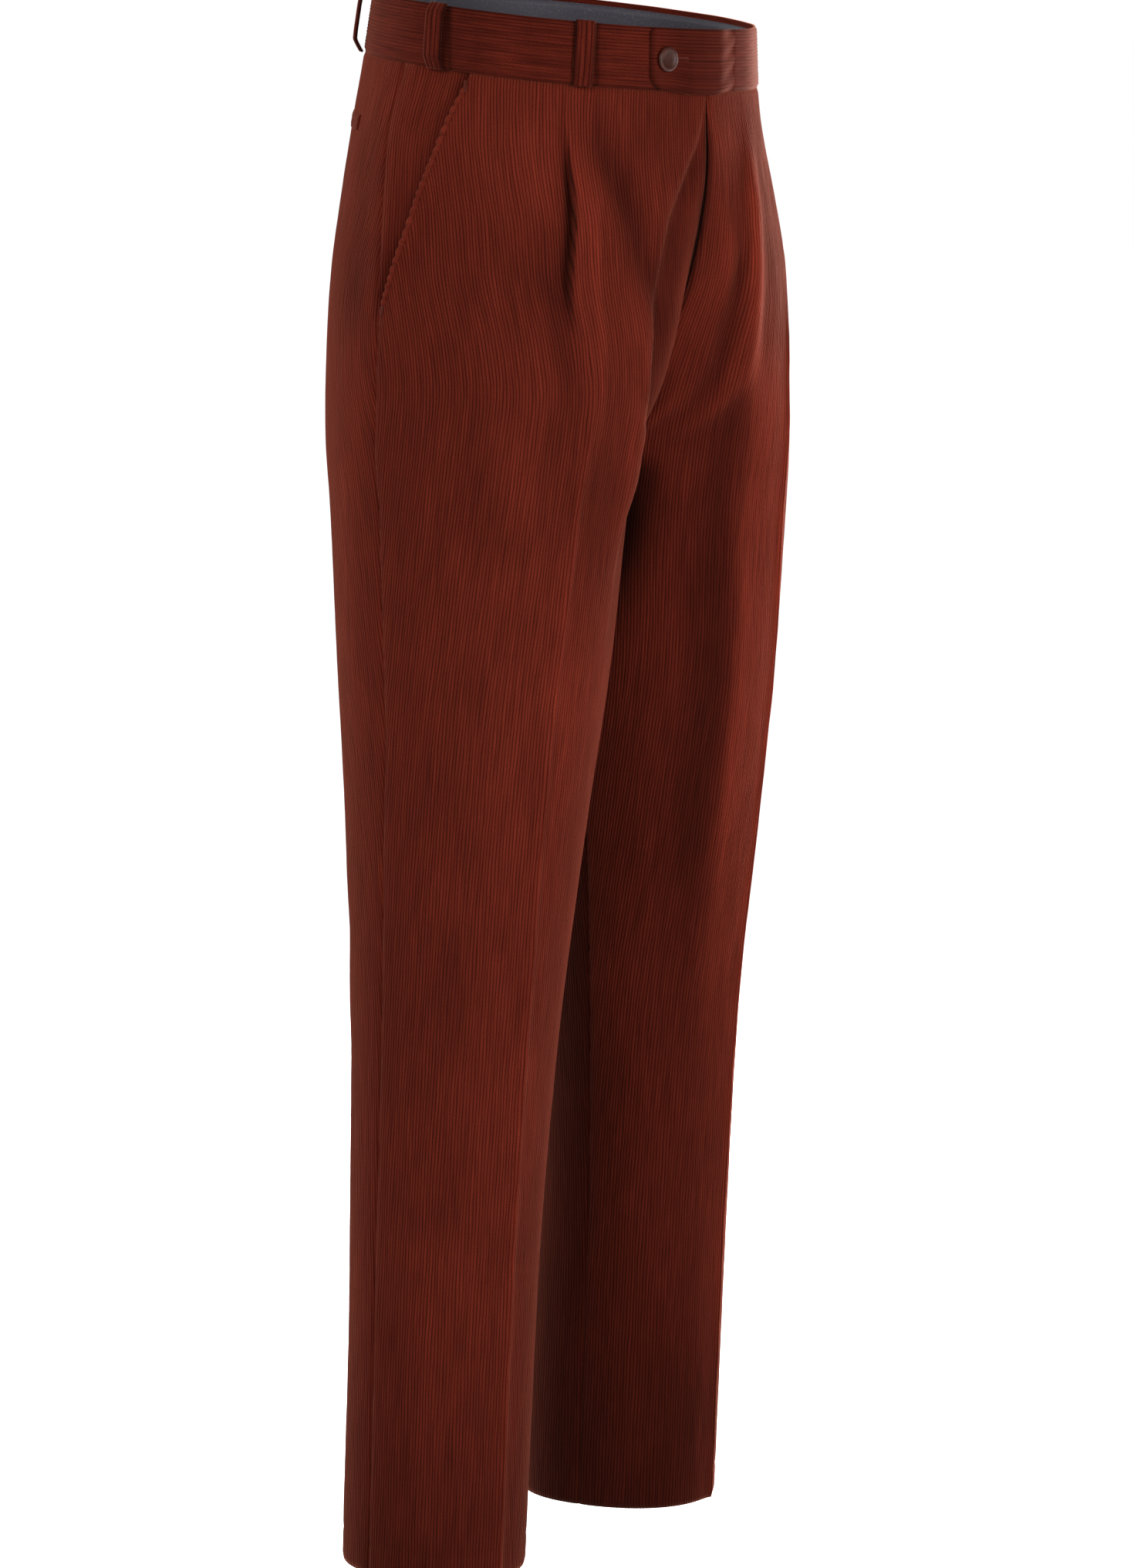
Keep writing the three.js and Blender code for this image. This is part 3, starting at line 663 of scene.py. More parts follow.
def crease_relief(level, from_crease, from_back_crease):
    """The pressed creases. The front one fades out at the pleat, the back one at the seat."""
    front = (1 - smooth(level, *CREASE_FADE)) * np.exp(-np.abs(from_crease) / CREASE_REACH)
    back = (1 - smooth(level, *BACK_CREASE_FADE)) * np.exp(-np.abs(from_back_crease) / CREASE_REACH)
    return CREASE_HEIGHT * (front + back)


def pleat_relief(level, from_crease):
    """The pleat: stitched shut below the band, then an open lip over a wedge."""
    from_pleat = from_crease - pleat_shift(level)
    wide = PLEAT_WIDTH + PLEAT_WIDENING * smooth(-level, *PLEAT_WIDENING_DEPTHS)
    step = PLEAT_STEP + PLEAT_STEP_GROWTH * smooth(-level, *PLEAT_STEP_DEPTHS)
    lip = np.where(from_pleat <= 0, bell(from_pleat, PLEAT_LIP_REACH), 1 - smooth(from_pleat, 0, step))
    wedge = smooth(from_pleat, 0, step) * bell(np.maximum(from_pleat - step, 0), wide)
    opened = PLEAT_LIP_HEIGHT * lip - PLEAT_WEDGE_DEPTH * wedge
    ridge = STITCHED_RIDGE_HEIGHT * bell(from_crease - STITCHED_RIDGE_PLACE, STITCHED_RIDGE_REACH)
    seam = groove(from_crease - STITCHED_GROOVE_PLACE, STITCHED_GROOVE_DEPTH, STITCHED_GROOVE_REACH)
    return between(level, *PLEAT_OPEN) * opened + between(level, *PLEAT_STITCHED) * (ridge + seam)


def fly_fold_relief(level, x):
    """The right front sinks inside the fold beside the fly and rises along it."""
    fold_x = float(fly_fold["x"](level))
    inside = 1 - smooth(x, fold_x - FLY_FOLD_INNER, fold_x + FLY_FOLD_OUTER)
    reach = min(FLY_TROUGH_SHARE * fold_x, FLY_TROUGH_REACH)
    trough = bell(x - fold_x + reach, reach)
    crest = bell(x - fold_x, np.where(x < fold_x, *FLY_CREST_REACHES))
    sunk = FLY_TROUGH_PART * trough + FLY_INSIDE_PART * (1 - smooth(-level, *FLY_FOLD_SHUT)) * inside
    return float(fly_fold["ridge"](level)) * crest - float(fly_fold["sink"](level)) * sunk


def hem_fullness(level, arcs):
    """The left leg bulges behind its inseam near the hem, where the two legs close."""
    behind_at = ring(level).at_angle(HEM_FULL_ANGLE)
    around = (back_edge(level) - behind_at) + (arcs - front_edge(level))
    away = np.minimum(np.abs(arcs - behind_at), around)
    return HEM_FULLNESS * smooth(-level, *HEM_FULL_DEPTHS) * bell(away, HEM_FULL_REACH)


def relief(side, level, arcs):
    """Height of the pressed creases, the pleat, the fly's fold and the soft folds over the plain form."""
    from_crease = arcs - crease_arc(level)
    out = crease_relief(level, from_crease, arcs - back_crease(level)) + folds(side, level, arcs)
    out += pleat_relief(level, from_crease)
    base = ring(level).points(arcs)
    x = base[:, 0]
    front = smooth(-base[:, 1], *FRONT_OF_BODY)
    if side == RIGHT and level > FLY_FOLD[-1][0]:
        out += front * fly_fold_relief(level, x)
    if side == LEFT and level < -HEM_FULL_DEPTHS[0]:
        out += hem_fullness(level, arcs)
    if side == LEFT and level > LAP_FADE[0]:
        out += front * smooth(level, *LAP_FADE) * LAP_HEIGHT * (1 - smooth(x, *LAP_EDGE))
    return out


def make_material(name):
    material = bpy.data.materials.new(name)
    material.use_nodes = True
    nodes = material.node_tree.nodes
    return material, nodes, material.node_tree.links, nodes["Principled BSDF"]


def value_noise(nodes, links, vector, scale, detail=2.0, roughness=0.5):
    noise = nodes.new("ShaderNodeTexNoise")
    noise.inputs["Scale"].default_value = scale
    noise.inputs["Detail"].default_value = detail
    noise.inputs["Roughness"].default_value = roughness
    links.new(vector, noise.inputs["Vector"])
    return noise.outputs["Fac"]


def stretched(nodes, links, vector, scale):
    mapping = nodes.new("ShaderNodeMapping")
    mapping.inputs["Scale"].default_value = scale
    links.new(vector, mapping.inputs["Vector"])
    return mapping.outputs["Vector"]


def remap(nodes, links, value, low, high, to_low, to_high):
    node = nodes.new("ShaderNodeMapRange")
    node.inputs["From Min"].default_value = low
    node.inputs["From Max"].default_value = high
    node.inputs["To Min"].default_value = to_low
    node.inputs["To Max"].default_value = to_high
    links.new(value, node.inputs["Value"])
    return node.outputs["Result"]


def multiply(nodes, links, a, b):
    node = nodes.new("ShaderNodeMath")
    node.operation = "MULTIPLY"
    links.new(a, node.inputs[0])
    links.new(b, node.inputs[1])
    return node.outputs["Value"]


def two_colours(nodes, links, value, first, second, span=(0.0, 1.0)):
    """A ramp from one colour to another over a span of the value."""
    ramp = nodes.new("ShaderNodeValToRGB")
    for element, position, colour in zip(ramp.color_ramp.elements, span, (first, second)):
        element.position = position
        element.color = colour
    links.new(value, ramp.inputs["Fac"])
    return ramp.outputs["Color"]


def bumped(nodes, links, shader, height, strength, distance):
    bump = nodes.new("ShaderNodeBump")
    bump.inputs["Strength"].default_value = strength
    bump.inputs["Distance"].default_value = distance
    links.new(height, bump.inputs["Height"])
    links.new(bump.outputs["Normal"], shader.inputs["Normal"])


def set_inputs(shader, values):
    for name, value in values.items():
        shader.inputs[name].default_value = value


def corduroy(name, valley, ridge, sheen, uneven):
    """Cut pile in wales: dark valleys, brighter pile, streaks along the wales, patches and a soft sheen.
    Its colour is multiplied by each vertex's painted light and painted shade.
    """
    material, nodes, links, shader = make_material(name)
    pile = nodes.new("ShaderNodeAttribute")
    pile.attribute_name = "pile"
    painted_light = nodes.new("ShaderNodeAttribute")
    painted_light.attribute_name = "painted_light"
    uv = nodes.new("ShaderNodeUVMap")
    uv.uv_map = "cloth"
    places = {"cloth": uv.outputs["UV"], "object": nodes.new("ShaderNodeTexCoord").outputs["Object"]}
    noise = {}
    gain = painted_light.outputs["Fac"]
    for row in PILE_NOISE:
        layer = dict(zip(PILE_NOISE_COLUMNS, row))
        vector = stretched(nodes, links, places[layer["place"]], layer["stretch"])
        value = value_noise(nodes, links, vector, layer["scale"], layer["detail"], layer["roughness"])
        change = layer["share"] * uneven
        change_here = remap(nodes, links, value, *layer["spread"], 1 - change, 1 + change)
        gain = multiply(nodes, links, gain, change_here)
        noise[layer["name"]] = value
    scaled = nodes.new("ShaderNodeVectorMath")
    scaled.operation = "SCALE"
    colour = two_colours(nodes, links, pile.outputs["Fac"], (*valley, 1), (*ridge, 1), PILE_COLOUR_SPAN)
    links.new(colour, scaled.inputs[0])
    links.new(gain, scaled.inputs["Scale"])
    links.new(scaled.outputs["Vector"], shader.inputs["Base Color"])
    bumped(nodes, links, shader, noise["tuft"], *PILE_BUMP)
    set_inputs(shader, PILE_FINISH)
    set_inputs(shader, {"Sheen Weight": sheen})
    return material


def twill(name):
    """Navy lining cloth: fine diagonal lines with small pale flecks."""
    material, nodes, links, shader = make_material(name)
    uv = nodes.new("ShaderNodeUVMap")
    uv.uv_map = "cloth"
    turned = nodes.new("ShaderNodeMapping")
    turned.inputs["Rotation"].default_value = (0, 0, TWILL_SLANT)
    links.new(uv.outputs["UV"], turned.inputs["Vector"])
    lines = nodes.new("ShaderNodeTexWave")
    lines.inputs["Scale"].default_value = 0.55
    lines.inputs["Distortion"].default_value = 0.4
    links.new(turned.outputs["Vector"], lines.inputs["Vector"])
    flecks = nodes.new("ShaderNodeTexVoronoi")
    flecks.inputs["Scale"].default_value = 1.0
    links.new(turned.outputs["Vector"], flecks.inputs["Vector"])
    dots = remap(nodes, links, flecks.outputs["Distance"], 0.12, 0.34, 0.5, 0)
    lift = nodes.new("ShaderNodeMath")
    lift.operation = "ADD"
    lift.use_clamp = True
    links.new(remap(nodes, links, lines.outputs["Fac"], 0, 1, 0, 0.55), lift.inputs[0])
    links.new(dots, lift.inputs[1])
    colour = two_colours(nodes, links, lift.outputs["Value"], TWILL_DARK, TWILL_LIGHT)
    links.new(colour, shader.inputs["Base Color"])
    bumped(nodes, links, shader, lines.outputs["Fac"], *TWILL_BUMP)
    set_inputs(shader, TWILL_FINISH)
    return material


def polished_button(name):
    """Dark brown, faintly clouded and glossy."""
    material, nodes, links, shader = make_material(name)
    place = nodes.new("ShaderNodeTexCoord").outputs["Object"]
    cloud = value_noise(nodes, links, place, 260.0, 3.0, 0.6)
    colour = two_colours(nodes, links, cloud, BUTTON_DARK, BUTTON_LIGHT, BUTTON_COLOUR_SPAN)
    links.new(colour, shader.inputs["Base Color"])
    set_inputs(shader, BUTTON_FINISH)
    return material


def spun_thread(name, dark, light):
    """Twisted sewing thread."""
    material, nodes, links, shader = make_material(name)
    place = nodes.new("ShaderNodeTexCoord").outputs["Object"]
    strand = value_noise(nodes, links, place, 1800.0, 2.0, 0.5)
    links.new(two_colours(nodes, links, strand, (*dark, 1), (*light, 1)), shader.inputs["Base Color"])
    set_inputs(shader, THREAD_FINISH)
    return material


def plain_floor(name):
    material, nodes, links, shader = make_material(name)
    place = nodes.new("ShaderNodeTexCoord").outputs["Object"]
    tone = remap(nodes, links, value_noise(nodes, links, place, 0.8), 0.3, 0.7, 0.93, 0.96)
    links.new(tone, shader.inputs["Base Color"])
    shader.inputs["Roughness"].default_value = 0.8
    shader.inputs["Emission Color"].default_value = (1, 1, 1, 1)
    shader.inputs["Emission Strength"].default_value = FLOOR_GLOW
    return material


CORDUROY = corduroy("corduroy_pile", VALLEY, RIDGE, 0.62, 0.30)
CORDUROY_BAND = corduroy(
    "corduroy_waistband", [v * BAND_SHADE for v in VALLEY], [v * BAND_SHADE for v in RIDGE], 0.40, 0.42,
)
TWILL = twill("navy_twill")
BUTTON = polished_button("button_brown")
BARTACK_THREAD = spun_thread("bartack_thread", (0.06, 0.010, 0.006), (0.15, 0.026, 0.014))
ZIP_TAPE = spun_thread("zip_tape_weave", (0.05, 0.014, 0.009), (0.10, 0.03, 0.02))


def turn_faces_out(mesh):
    work = bmesh.new()
    work.from_mesh(mesh)
    bmesh.ops.recalc_face_normals(work, faces=work.faces)
    work.to_mesh(mesh)
    work.free()


class Cloth:
    """Gathers a closed shell: a fine outer face, a coarse inner one, and the edges between them."""

    def __init__(self):
        self.points = []
        self.uvs = []
        self.pile = []
        self.painted_light = []
        self.faces = []
        self.count = 0

    def add(self, points, uvs, pile, painted_light=1.0):
        first = self.count
        self.points.append(np.asarray(points, dtype=float))
        self.uvs.append(np.asarray(uvs, dtype=float))
        self.pile.append(np.asarray(pile, dtype=float))
        self.painted_light.append(np.broadcast_to(np.asarray(painted_light, dtype=float), (len(points),)))
        self.count += len(points)
        return list(range(first, self.count))

    def strip(self, a, b):
        """Faces between two chains of vertices of the same length."""
        for i in range(len(a) - 1):
            corners = [a[i], a[i + 1], b[i + 1], b[i]]
            kept = [v for k, v in enumerate(corners) if v != corners[k - 1]]
            if len(kept) > 2:
                self.faces.append(kept)

    def rows(self, chains):
        for a, b in zip(chains, chains[1:]):
            self.strip(a, b)

    def closed(self, outer, inner):
        """Two faces of the same rows and columns, and the four edges between them."""
        self.rows(outer)
        self.rows(inner)
        self.strip(outer[0], inner[0])
        self.strip(outer[-1], inner[-1])
        for column in (0, -1):
            self.strip([row[column] for row in outer], [row[column] for row in inner])

    def edge(self, chain, picked, inner, column):
        """Faces between an outer edge with many rows and the inner face's picked ones."""
        for j in range(len(picked) - 1):
            part = chain[picked[j]:picked[j + 1] + 1]
            self.faces.append([*part, inner[j + 1][column], inner[j][column]])

    def bridge(self, fine, coarse):
        """Faces between a chain of many vertices and one of few."""
        steps = len(coarse) - 1
        for j in range(steps):
            start = round(j * (len(fine) - 1) / steps)
            stop = round((j + 1) * (len(fine) - 1) / steps)
            self.faces.append([*fine[start:stop + 1], coarse[j + 1], coarse[j]])

    def make(self, name, material, replaced=()):
        mesh = bpy.data.meshes.new(name)
        points = np.concatenate(self.points) * MM
        mesh.from_pydata(points.tolist(), [], self.faces)
        uvs = np.concatenate(self.uvs)
        layer = mesh.uv_layers.new(name="cloth")
        corner = np.zeros(len(mesh.loops), dtype=np.int32)
        mesh.loops.foreach_get("vertex_index", corner)
        layer.data.foreach_set("uv", uvs[corner].astype(np.float32).ravel())
        for name_of, values in (("pile", self.pile), ("painted_light", self.painted_light)):
            attribute = mesh.attributes.new(name_of, "FLOAT", "POINT")
            attribute.data.foreach_set("value", np.concatenate(values).astype(np.float32))
        turn_faces_out(mesh)
        return finished(name, mesh, material, replaced)


def finished(name, mesh, material, replaced=()):
    """Puts a mesh in the scene as a piece of the object."""
    mesh.polygons.foreach_set("use_smooth", [True] * len(mesh.polygons))
    mesh.materials.append(material)
    piece = bpy.data.objects.new(name, mesh)
    bpy.context.scene.collection.objects.link(piece)
    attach(piece, "root")
    if replaced:
        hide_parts(*replaced)
    return piece


def wale(position):
    """Height of the pile, 0 to 1, at a place counted in wales."""
    across = np.abs((position % 1.0) * 2 - 1)
    return np.sqrt(np.clip(1 - (1 - across) ** 2.4, 0, 1))


def edge_roll(distance):
    """The cloth turns in at a seam."""
    return groove(distance, *SEAM_GROOVE) + groove(distance, *SEAM_HOLLOW)


def wander(count, level):
    """How far the wales stray from their lines, in wales."""
    slow = 0.15 * np.sin(level / 19.0 + 2.4 * np.sin(count * 0.37))
    quick = 0.05 * np.sin(level / 6.1 + count * 0.83)
    return slow + quick


def fold_painted_light(height, soft=0.0):
    """Painted light on the folds: ridges painted lighter, troughs painted darker as painted shade; soft folds
    most of all.
    """
    height = np.clip(height, -PAINTED_FOLD_LIMIT, PAINTED_FOLD_LIMIT)
    soft = np.clip(soft, -PAINTED_FOLD_LIMIT, PAINTED_FOLD_LIMIT)
    return np.exp(PAINTED_FOLD_GAIN * height + PAINTED_SOFT_FOLD_GAIN * soft)


def inner_out(out_at, level, arcs):
    """The inner face keeps below the outer one everywhere between its own few columns."""
    fine = np.linspace(arcs[0], arcs[-1], 4 * (len(arcs) - 1) + 1)
    out = out_at(level, fine)
    padded = np.pad(out, 4, mode="edge")
    lowest = np.min([padded[k:k + len(out)] for k in range(9)], axis=0)
    return lowest[::4]


def upright_cloth(name, side, levels, start, end, origin, out_at, wall_at, roll=(True, True), replaced=(),
                  painted_light_at=None):
    """A panel whose wales run down it, parallel to a line on the cloth, cut off by its two edges."""
    step = WALE_PITCH / WALE_COLUMNS
    rows = []
    for level in levels:
        a0, a1, o = start(level), end(level), origin(level)
        low = math.ceil((a0 - o) / step + 0.3)
        high = math.floor((a1 - o) / step - 0.3)
        rows.append((level, a0, a1, o, low, high))
    lowest = min(r[4] for r in rows) - 1
    highest = max(r[5] for r in rows) + 1
    cloth = Cloth()
    grid = []
    chains = []
    for level, a0, a1, o, low, high in rows:
        arcs = np.concatenate(([a0], o + step * np.arange(low, high + 1), [a1]))
        count = (arcs - o) / WALE_PITCH
        height = wale(count)
        arcs[1:-1] += WALE_PITCH * wander(count[1:-1], level)
        arcs = np.clip(arcs, a0, a1)
        plain_out = out_at(level, arcs)
        lumps = 1 + 0.2 * np.sin(level / 7.7 + 5 * np.sin(count * 0.61))
        out = plain_out + WALE_HEIGHT * (height * lumps - PILE_MIDDLE)
        if roll[0]:
            out = out + edge_roll(arcs - a0)
        if roll[1]:
            out = out + edge_roll(a1 - arcs)
        uvs = np.stack((count, np.full(len(arcs), level / WALE_PITCH)), axis=-1)
        # Painted light and shade on the folds, unless the panel gives its own.
        painted_light = fold_painted_light(plain_out) if painted_light_at is None else painted_light_at(level, arcs)
        ids = cloth.add(placed(side, level, arcs, out), uvs, height, painted_light)
        full = [ids[0]] * (low - lowest) + ids[1:-1] + [ids[-1]] * (highest - high)
        grid.append(full)
        chains.append(ids)
    cloth.rows(grid)
    inner = []
    picked = list(range(0, len(rows) - 1, 2)) + [len(rows) - 1]
    for i in picked:
        level, a0, a1, o, low, high = rows[i]
        arcs = np.linspace(a0, a1, INNER_COLUMNS + 1)
        out = inner_out(out_at, level, arcs) - wall_at(level)
        uvs = np.stack(((arcs - o) / WALE_PITCH, np.full(len(arcs), level / WALE_PITCH)), axis=-1)
        pile = np.full(len(arcs), INNER_PILE)
        inner.append(cloth.add(placed(side, level, arcs, out), uvs, pile, INNER_PAINTED_LIGHT))
    cloth.rows(inner)
    cloth.bridge(chains[0], inner[0])
    cloth.bridge(chains[-1], inner[-1])
    cloth.edge([chain[0] for chain in chains], picked, inner, 0)
    cloth.edge([chain[-1] for chain in chains], picked, inner, -1)
    return cloth.make(name, CORDUROY, replaced)


PANEL_TOP = BAND_BOTTOM - SEAM_GAP
HEM_FOLD_TOP = HEM_LEVEL + HEM_TURN_UP
PANEL_LEVELS = np.concatenate((
    np.linspace(PANEL_TOP, POCKET_BOTTOM_LEVEL, 40),
    np.linspace(POCKET_BOTTOM_LEVEL, CROTCH_LEVEL, 23)[1:],
    np.linspace(CROTCH_LEVEL, -400, 19)[1:],
    np.linspace(-400, HEM_FOLD_TOP, 72)[1:],
    np.linspace(HEM_FOLD_TOP, HEM_LEVEL, 11)[1:],
))


def panel_wall(level):
    return HEM_WALL if level <= HEM_FOLD_TOP else CLOTH_WALL


def hem_line(level):
    """The faint line pressed above the hem, and the edge turned in."""
    pressed = groove(level - (HEM_LEVEL + HEM_PRESS_LINE), *HEM_LINE_GROOVE)
    return pressed + groove(level - HEM_LEVEL, *HEM_EDGE_GROOVE)


def panel_out(side):
    def out(level, arcs):
        edge = groove(level - PANEL_TOP, *PANEL_TOP_GROOVE)
        return relief(side, level, arcs) + hem_line(level) + edge
    return out


def front_start(level):
    return front_edge(level) + SEAM_GAP / 2


def front_end(level):
    seam = side_seam(level) - SEAM_GAP / 2
    return min(mouth_arc(level), seam) if level > POCKET_BOTTOM_LEVEL else seam


def back_start(level):
    return side_seam(level) + SEAM_GAP / 2


def back_end(level):
    return back_edge(level) - SEAM_GAP / 2


def mouth_gape(level, arcs):
    """The front's edge stands off the pocket a little along its mouth."""
    return MOUTH_GAPE * between(level, *MOUTH_GAPE_DEPTHS) * bell(arcs - mouth_arc(level), MOUTH_GAPE_REACH)


SHADE_REFERENCES = {
    "front": front_edge, "back": back_edge, "crease": crease_arc,
    "pleat": lambda level: crease_arc(level) + pleat_shift(level),
    "turn": lambda level: crease_arc(level) + left_turn(level),
}


def panel_painted_light(panel, level, arcs):
    """The table rows that lie on a panel, as painted light and shade; all panels are painted darker towards
    the hem.
    """
    shade = np.full(len(arcs), 1 - HEM_PAINTED_SHADE * smooth(-level, *HEM_PAINTED_SHADE_DEPTHS))
    for on_panel, reference, depths, arc, reach, gain in PAINTED_LIGHT_ROWS:
        if on_panel == panel:
            distance = arcs - SHADE_REFERENCES[reference](level) - arc
            shade = shade * (1 + gain * between(level, *depths) * bell(distance, reach))
    for on_panel, reference, depths, start, full, gain in PAINTED_LIGHT_SIDES:
        if on_panel == panel:
            distance = arcs - SHADE_REFERENCES[reference](level)
            shade = shade * (1 + gain * between(level, *depths) * smooth(distance, start, full))
    return shade


# The right front is painted darker at the crotch and under the fold beside the fly: painted shade.
RIGHT_CROTCH_DIM = 0.5
RIGHT_CROTCH_HEIGHT = 34
RIGHT_CROTCH_REACH = 26
UNDER_FOLD_DIM = 0.55
UNDER_FOLD_DEPTHS = (175, 205, 255, 300)
UNDER_FOLD_PLACE = -9
UNDER_FOLD_REACH = 8


def right_front_painted_shade(level, arcs):
    """Painted light and shade on the right front: by the pleat, the fly, the crotch and the pressed crease."""
    from_front = arcs - front_edge(level)
    from_fold = ring(level).points(arcs)[:, 0] - fly_fold["x"](level)
    crotch = bell(level - CROTCH_LEVEL, RIGHT_CROTCH_HEIGHT) * bell(from_front, RIGHT_CROTCH_REACH)
    under_fold = between(level, *UNDER_FOLD_DEPTHS) * bell(from_fold - UNDER_FOLD_PLACE, UNDER_FOLD_REACH)
    shade = panel_painted_light("front_right", level, arcs)
    return shade * (1 - RIGHT_CROTCH_DIM * crotch) * (1 - UNDER_FOLD_DIM * under_fold)


# Left front: painted light outside its long fold, painted shade inside it and at the crotch, both weaker below
# the knee.
TURN_LIT = 0.62
TURN_LIT_DEPTHS = (190, 275)
TURN_LIT_NEAR = (-5, 7)
TURN_LIT_FAR = (45, 80)
TURN_DIM = 0.42
TURN_DIM_DEPTHS = (150, 220)
TURN_DIM_PLACE = -7
TURN_DIM_WIDTH = 11
TURN_DIM_WIDENING = (230, 300)
TURN_WEAKENING = 0.6
TURN_WEAKENING_DEPTHS = (560, 760)
LEFT_CROTCH_DIM = 0.94
LEFT_CROTCH_DEPTHS = (262, 285, 380, 460)
LEFT_CROTCH_REACH = 80
LEFT_CROTCH_REACH_DEPTHS = (264, 312)
LEFT_CROTCH_NARROWING = 34
LEFT_CROTCH_NARROWING_DEPTHS = (312, 450)
LEFT_CROTCH_EDGE = (-30, 4)


def left_front_painted_light(level, arcs):
    """Painted light on the left front: bright outside the long fold, painted shade inside it and at the
    crotch.
    """
    from_turn = arcs - SHADE_REFERENCES["turn"](level)
    from_front = arcs - front_edge(level)
    weaker = 1 - TURN_WEAKENING * smooth(-level, *TURN_WEAKENING_DEPTHS)
    lit = smooth(from_turn, *TURN_LIT_NEAR) * (1 - smooth(from_turn, *TURN_LIT_FAR))
    lit = lit * smooth(-level, *TURN_LIT_DEPTHS)
    width = TURN_DIM_WIDTH * (1 + smooth(-level, *TURN_DIM_WIDENING))
    dark = smooth(-level, *TURN_DIM_DEPTHS) * bell(from_turn - TURN_DIM_PLACE + 0.5 * width, width)
    reach = LEFT_CROTCH_REACH * smooth(-level, *LEFT_CROTCH_REACH_DEPTHS)
    reach = reach - LEFT_CROTCH_NARROWING * smooth(-level, *LEFT_CROTCH_NARROWING_DEPTHS)
    crotch = between(level, *LEFT_CROTCH_DEPTHS) * (1 - smooth(from_front - reach, *LEFT_CROTCH_EDGE))
    shade = panel_painted_light("front_left", level, arcs)
    shade = shade * (1 + TURN_LIT * weaker * lit) * (1 - TURN_DIM * weaker * dark)
    return shade * (1 - LEFT_CROTCH_DIM * crotch) * (1 - LEFT_HEM_PAINTED_SHADE * smooth(-level, *LEFT_HEM_PAINTED_SHADE_DEPTHS))


for side, word in SIDES:
    plain = panel_out(side)

    def front_out(level, arcs, plain=plain):
        return plain(level, arcs) + mouth_gape(level, arcs)

    # Painted light on the folds, times the painted light and shade of each panel.
    def front_painted_light(level, arcs, side=side, plain=plain):
        shade = right_front_painted_shade if side == RIGHT else left_front_painted_light
        return fold_painted_light(plain(level, arcs), folds(side, level, arcs)) * shade(level, arcs)

    def back_painted_light(level, arcs, side=side, plain=plain, panel=f"back_{word}"):
        return fold_painted_light(plain(level, arcs), folds(side, level, arcs)) * panel_painted_light(panel, level, arcs)

    upright_cloth(
        f"leg_front_{word}", side, PANEL_LEVELS, front_start, front_end, crease_arc, front_out, panel_wall,
        replaced=(f"front_{word}",), painted_light_at=front_painted_light,
    )
    upright_cloth(
        f"leg_back_{word}", side, PANEL_LEVELS, back_start, back_end, back_crease, plain, panel_wall,
        replaced=(f"back_{word}",), painted_light_at=back_painted_light,
    )

    def side_start(level):
        return mouth_arc(level) - POCKET_UNDERLAY

    def side_end(level):
        return side_seam(level) - SEAM_GAP / 2

    def side_out(level, arcs, side=side):
        opening = mouth_arc(level)
        width = max(side_seam(level) - opening, 2.5)
        above = smooth(arcs - opening, 0.1 * width, width)
        drag = 0.9 * bell(level + 46, 9) * np.sin((arcs - opening) / 5.2)
        return relief(side, level, arcs) - BEHIND_CLOTH * (1 - above) + drag * smooth(arcs - opening, 2, 12)

    # The pocket facing is painted darker close to the mouth: painted shade inside the pocket.
    def side_painted_shade(level, arcs):
        return 0.5 + 0.5 * smooth(arcs - mouth_arc(level), -1, 15)

    upright_cloth(
        f"pocket_facing_{word}", side, np.linspace(PANEL_TOP, POCKET_SIDE_BOTTOM, 46), side_start, side_end,
        side_seam, side_out, lambda level: POCKET_SIDE_WALL, roll=(False, True),
        replaced=(f"pocket_side_{word}",), painted_light_at=side_painted_shade,
    )


def mouth_edge(side, word):
    """The folded edge of the pocket mouth, scalloped where the slanting fold cuts across the wales."""
    cloth = Cloth()
    outer = []
    inner = []
    across = np.linspace(0, 1, 11)
    for level in np.linspace(MOUTH_TOP_LEVEL, POCKET_BOTTOM_LEVEL + 1, MOUTH_ROWS):
        edge = mouth_arc(level)
        count = (edge - crease_arc(level)) / WALE_PITCH
        bump = abs(math.sin(math.pi * count * SCALLOP_SHARE))
        arcs = edge - MOUTH_EDGE_WIDTH + (MOUTH_EDGE_WIDTH + MOUTH_SCALLOP * (0.4 + bump)) * across
        crown = np.sqrt(np.clip(1 - (2 * across - 1) ** 2, 0, 1))
        base = relief(side, level, arcs) + mouth_gape(level, arcs)
        ends = between(level, *MOUTH_EDGE_DEPTHS)
        top = base - 0.6 + ends * crown * (1.2 + 0.5 * bump)
        uvs = np.stack((np.full(len(arcs), count), arcs / WALE_PITCH), axis=-1)
        # The rolled edge is painted lighter along its crown and on each scallop: a painted highlight.
        outer.append(cloth.add(placed(side, level, arcs, top), uvs, 0.75 * crown, 1.05 + 0.25 * bump))
        under = placed(side, level, arcs, base - 0.5 - 0.7 * crown)
        inner.append(cloth.add(under, uvs, np.full(len(arcs), INNER_PILE)))
    cloth.closed(outer, inner)
    return cloth.make(f"pocket_mouth_edge_{word}", CORDUROY)


for side, word in SIDES:
    mouth_edge(side, word)


def round_edges(level):
    """The band's folded edges are rounded over at its top and bottom."""
    return groove(level, *BAND_EDGE_GROOVE) + groove(level - BAND_BOTTOM, *BAND_EDGE_GROOVE)


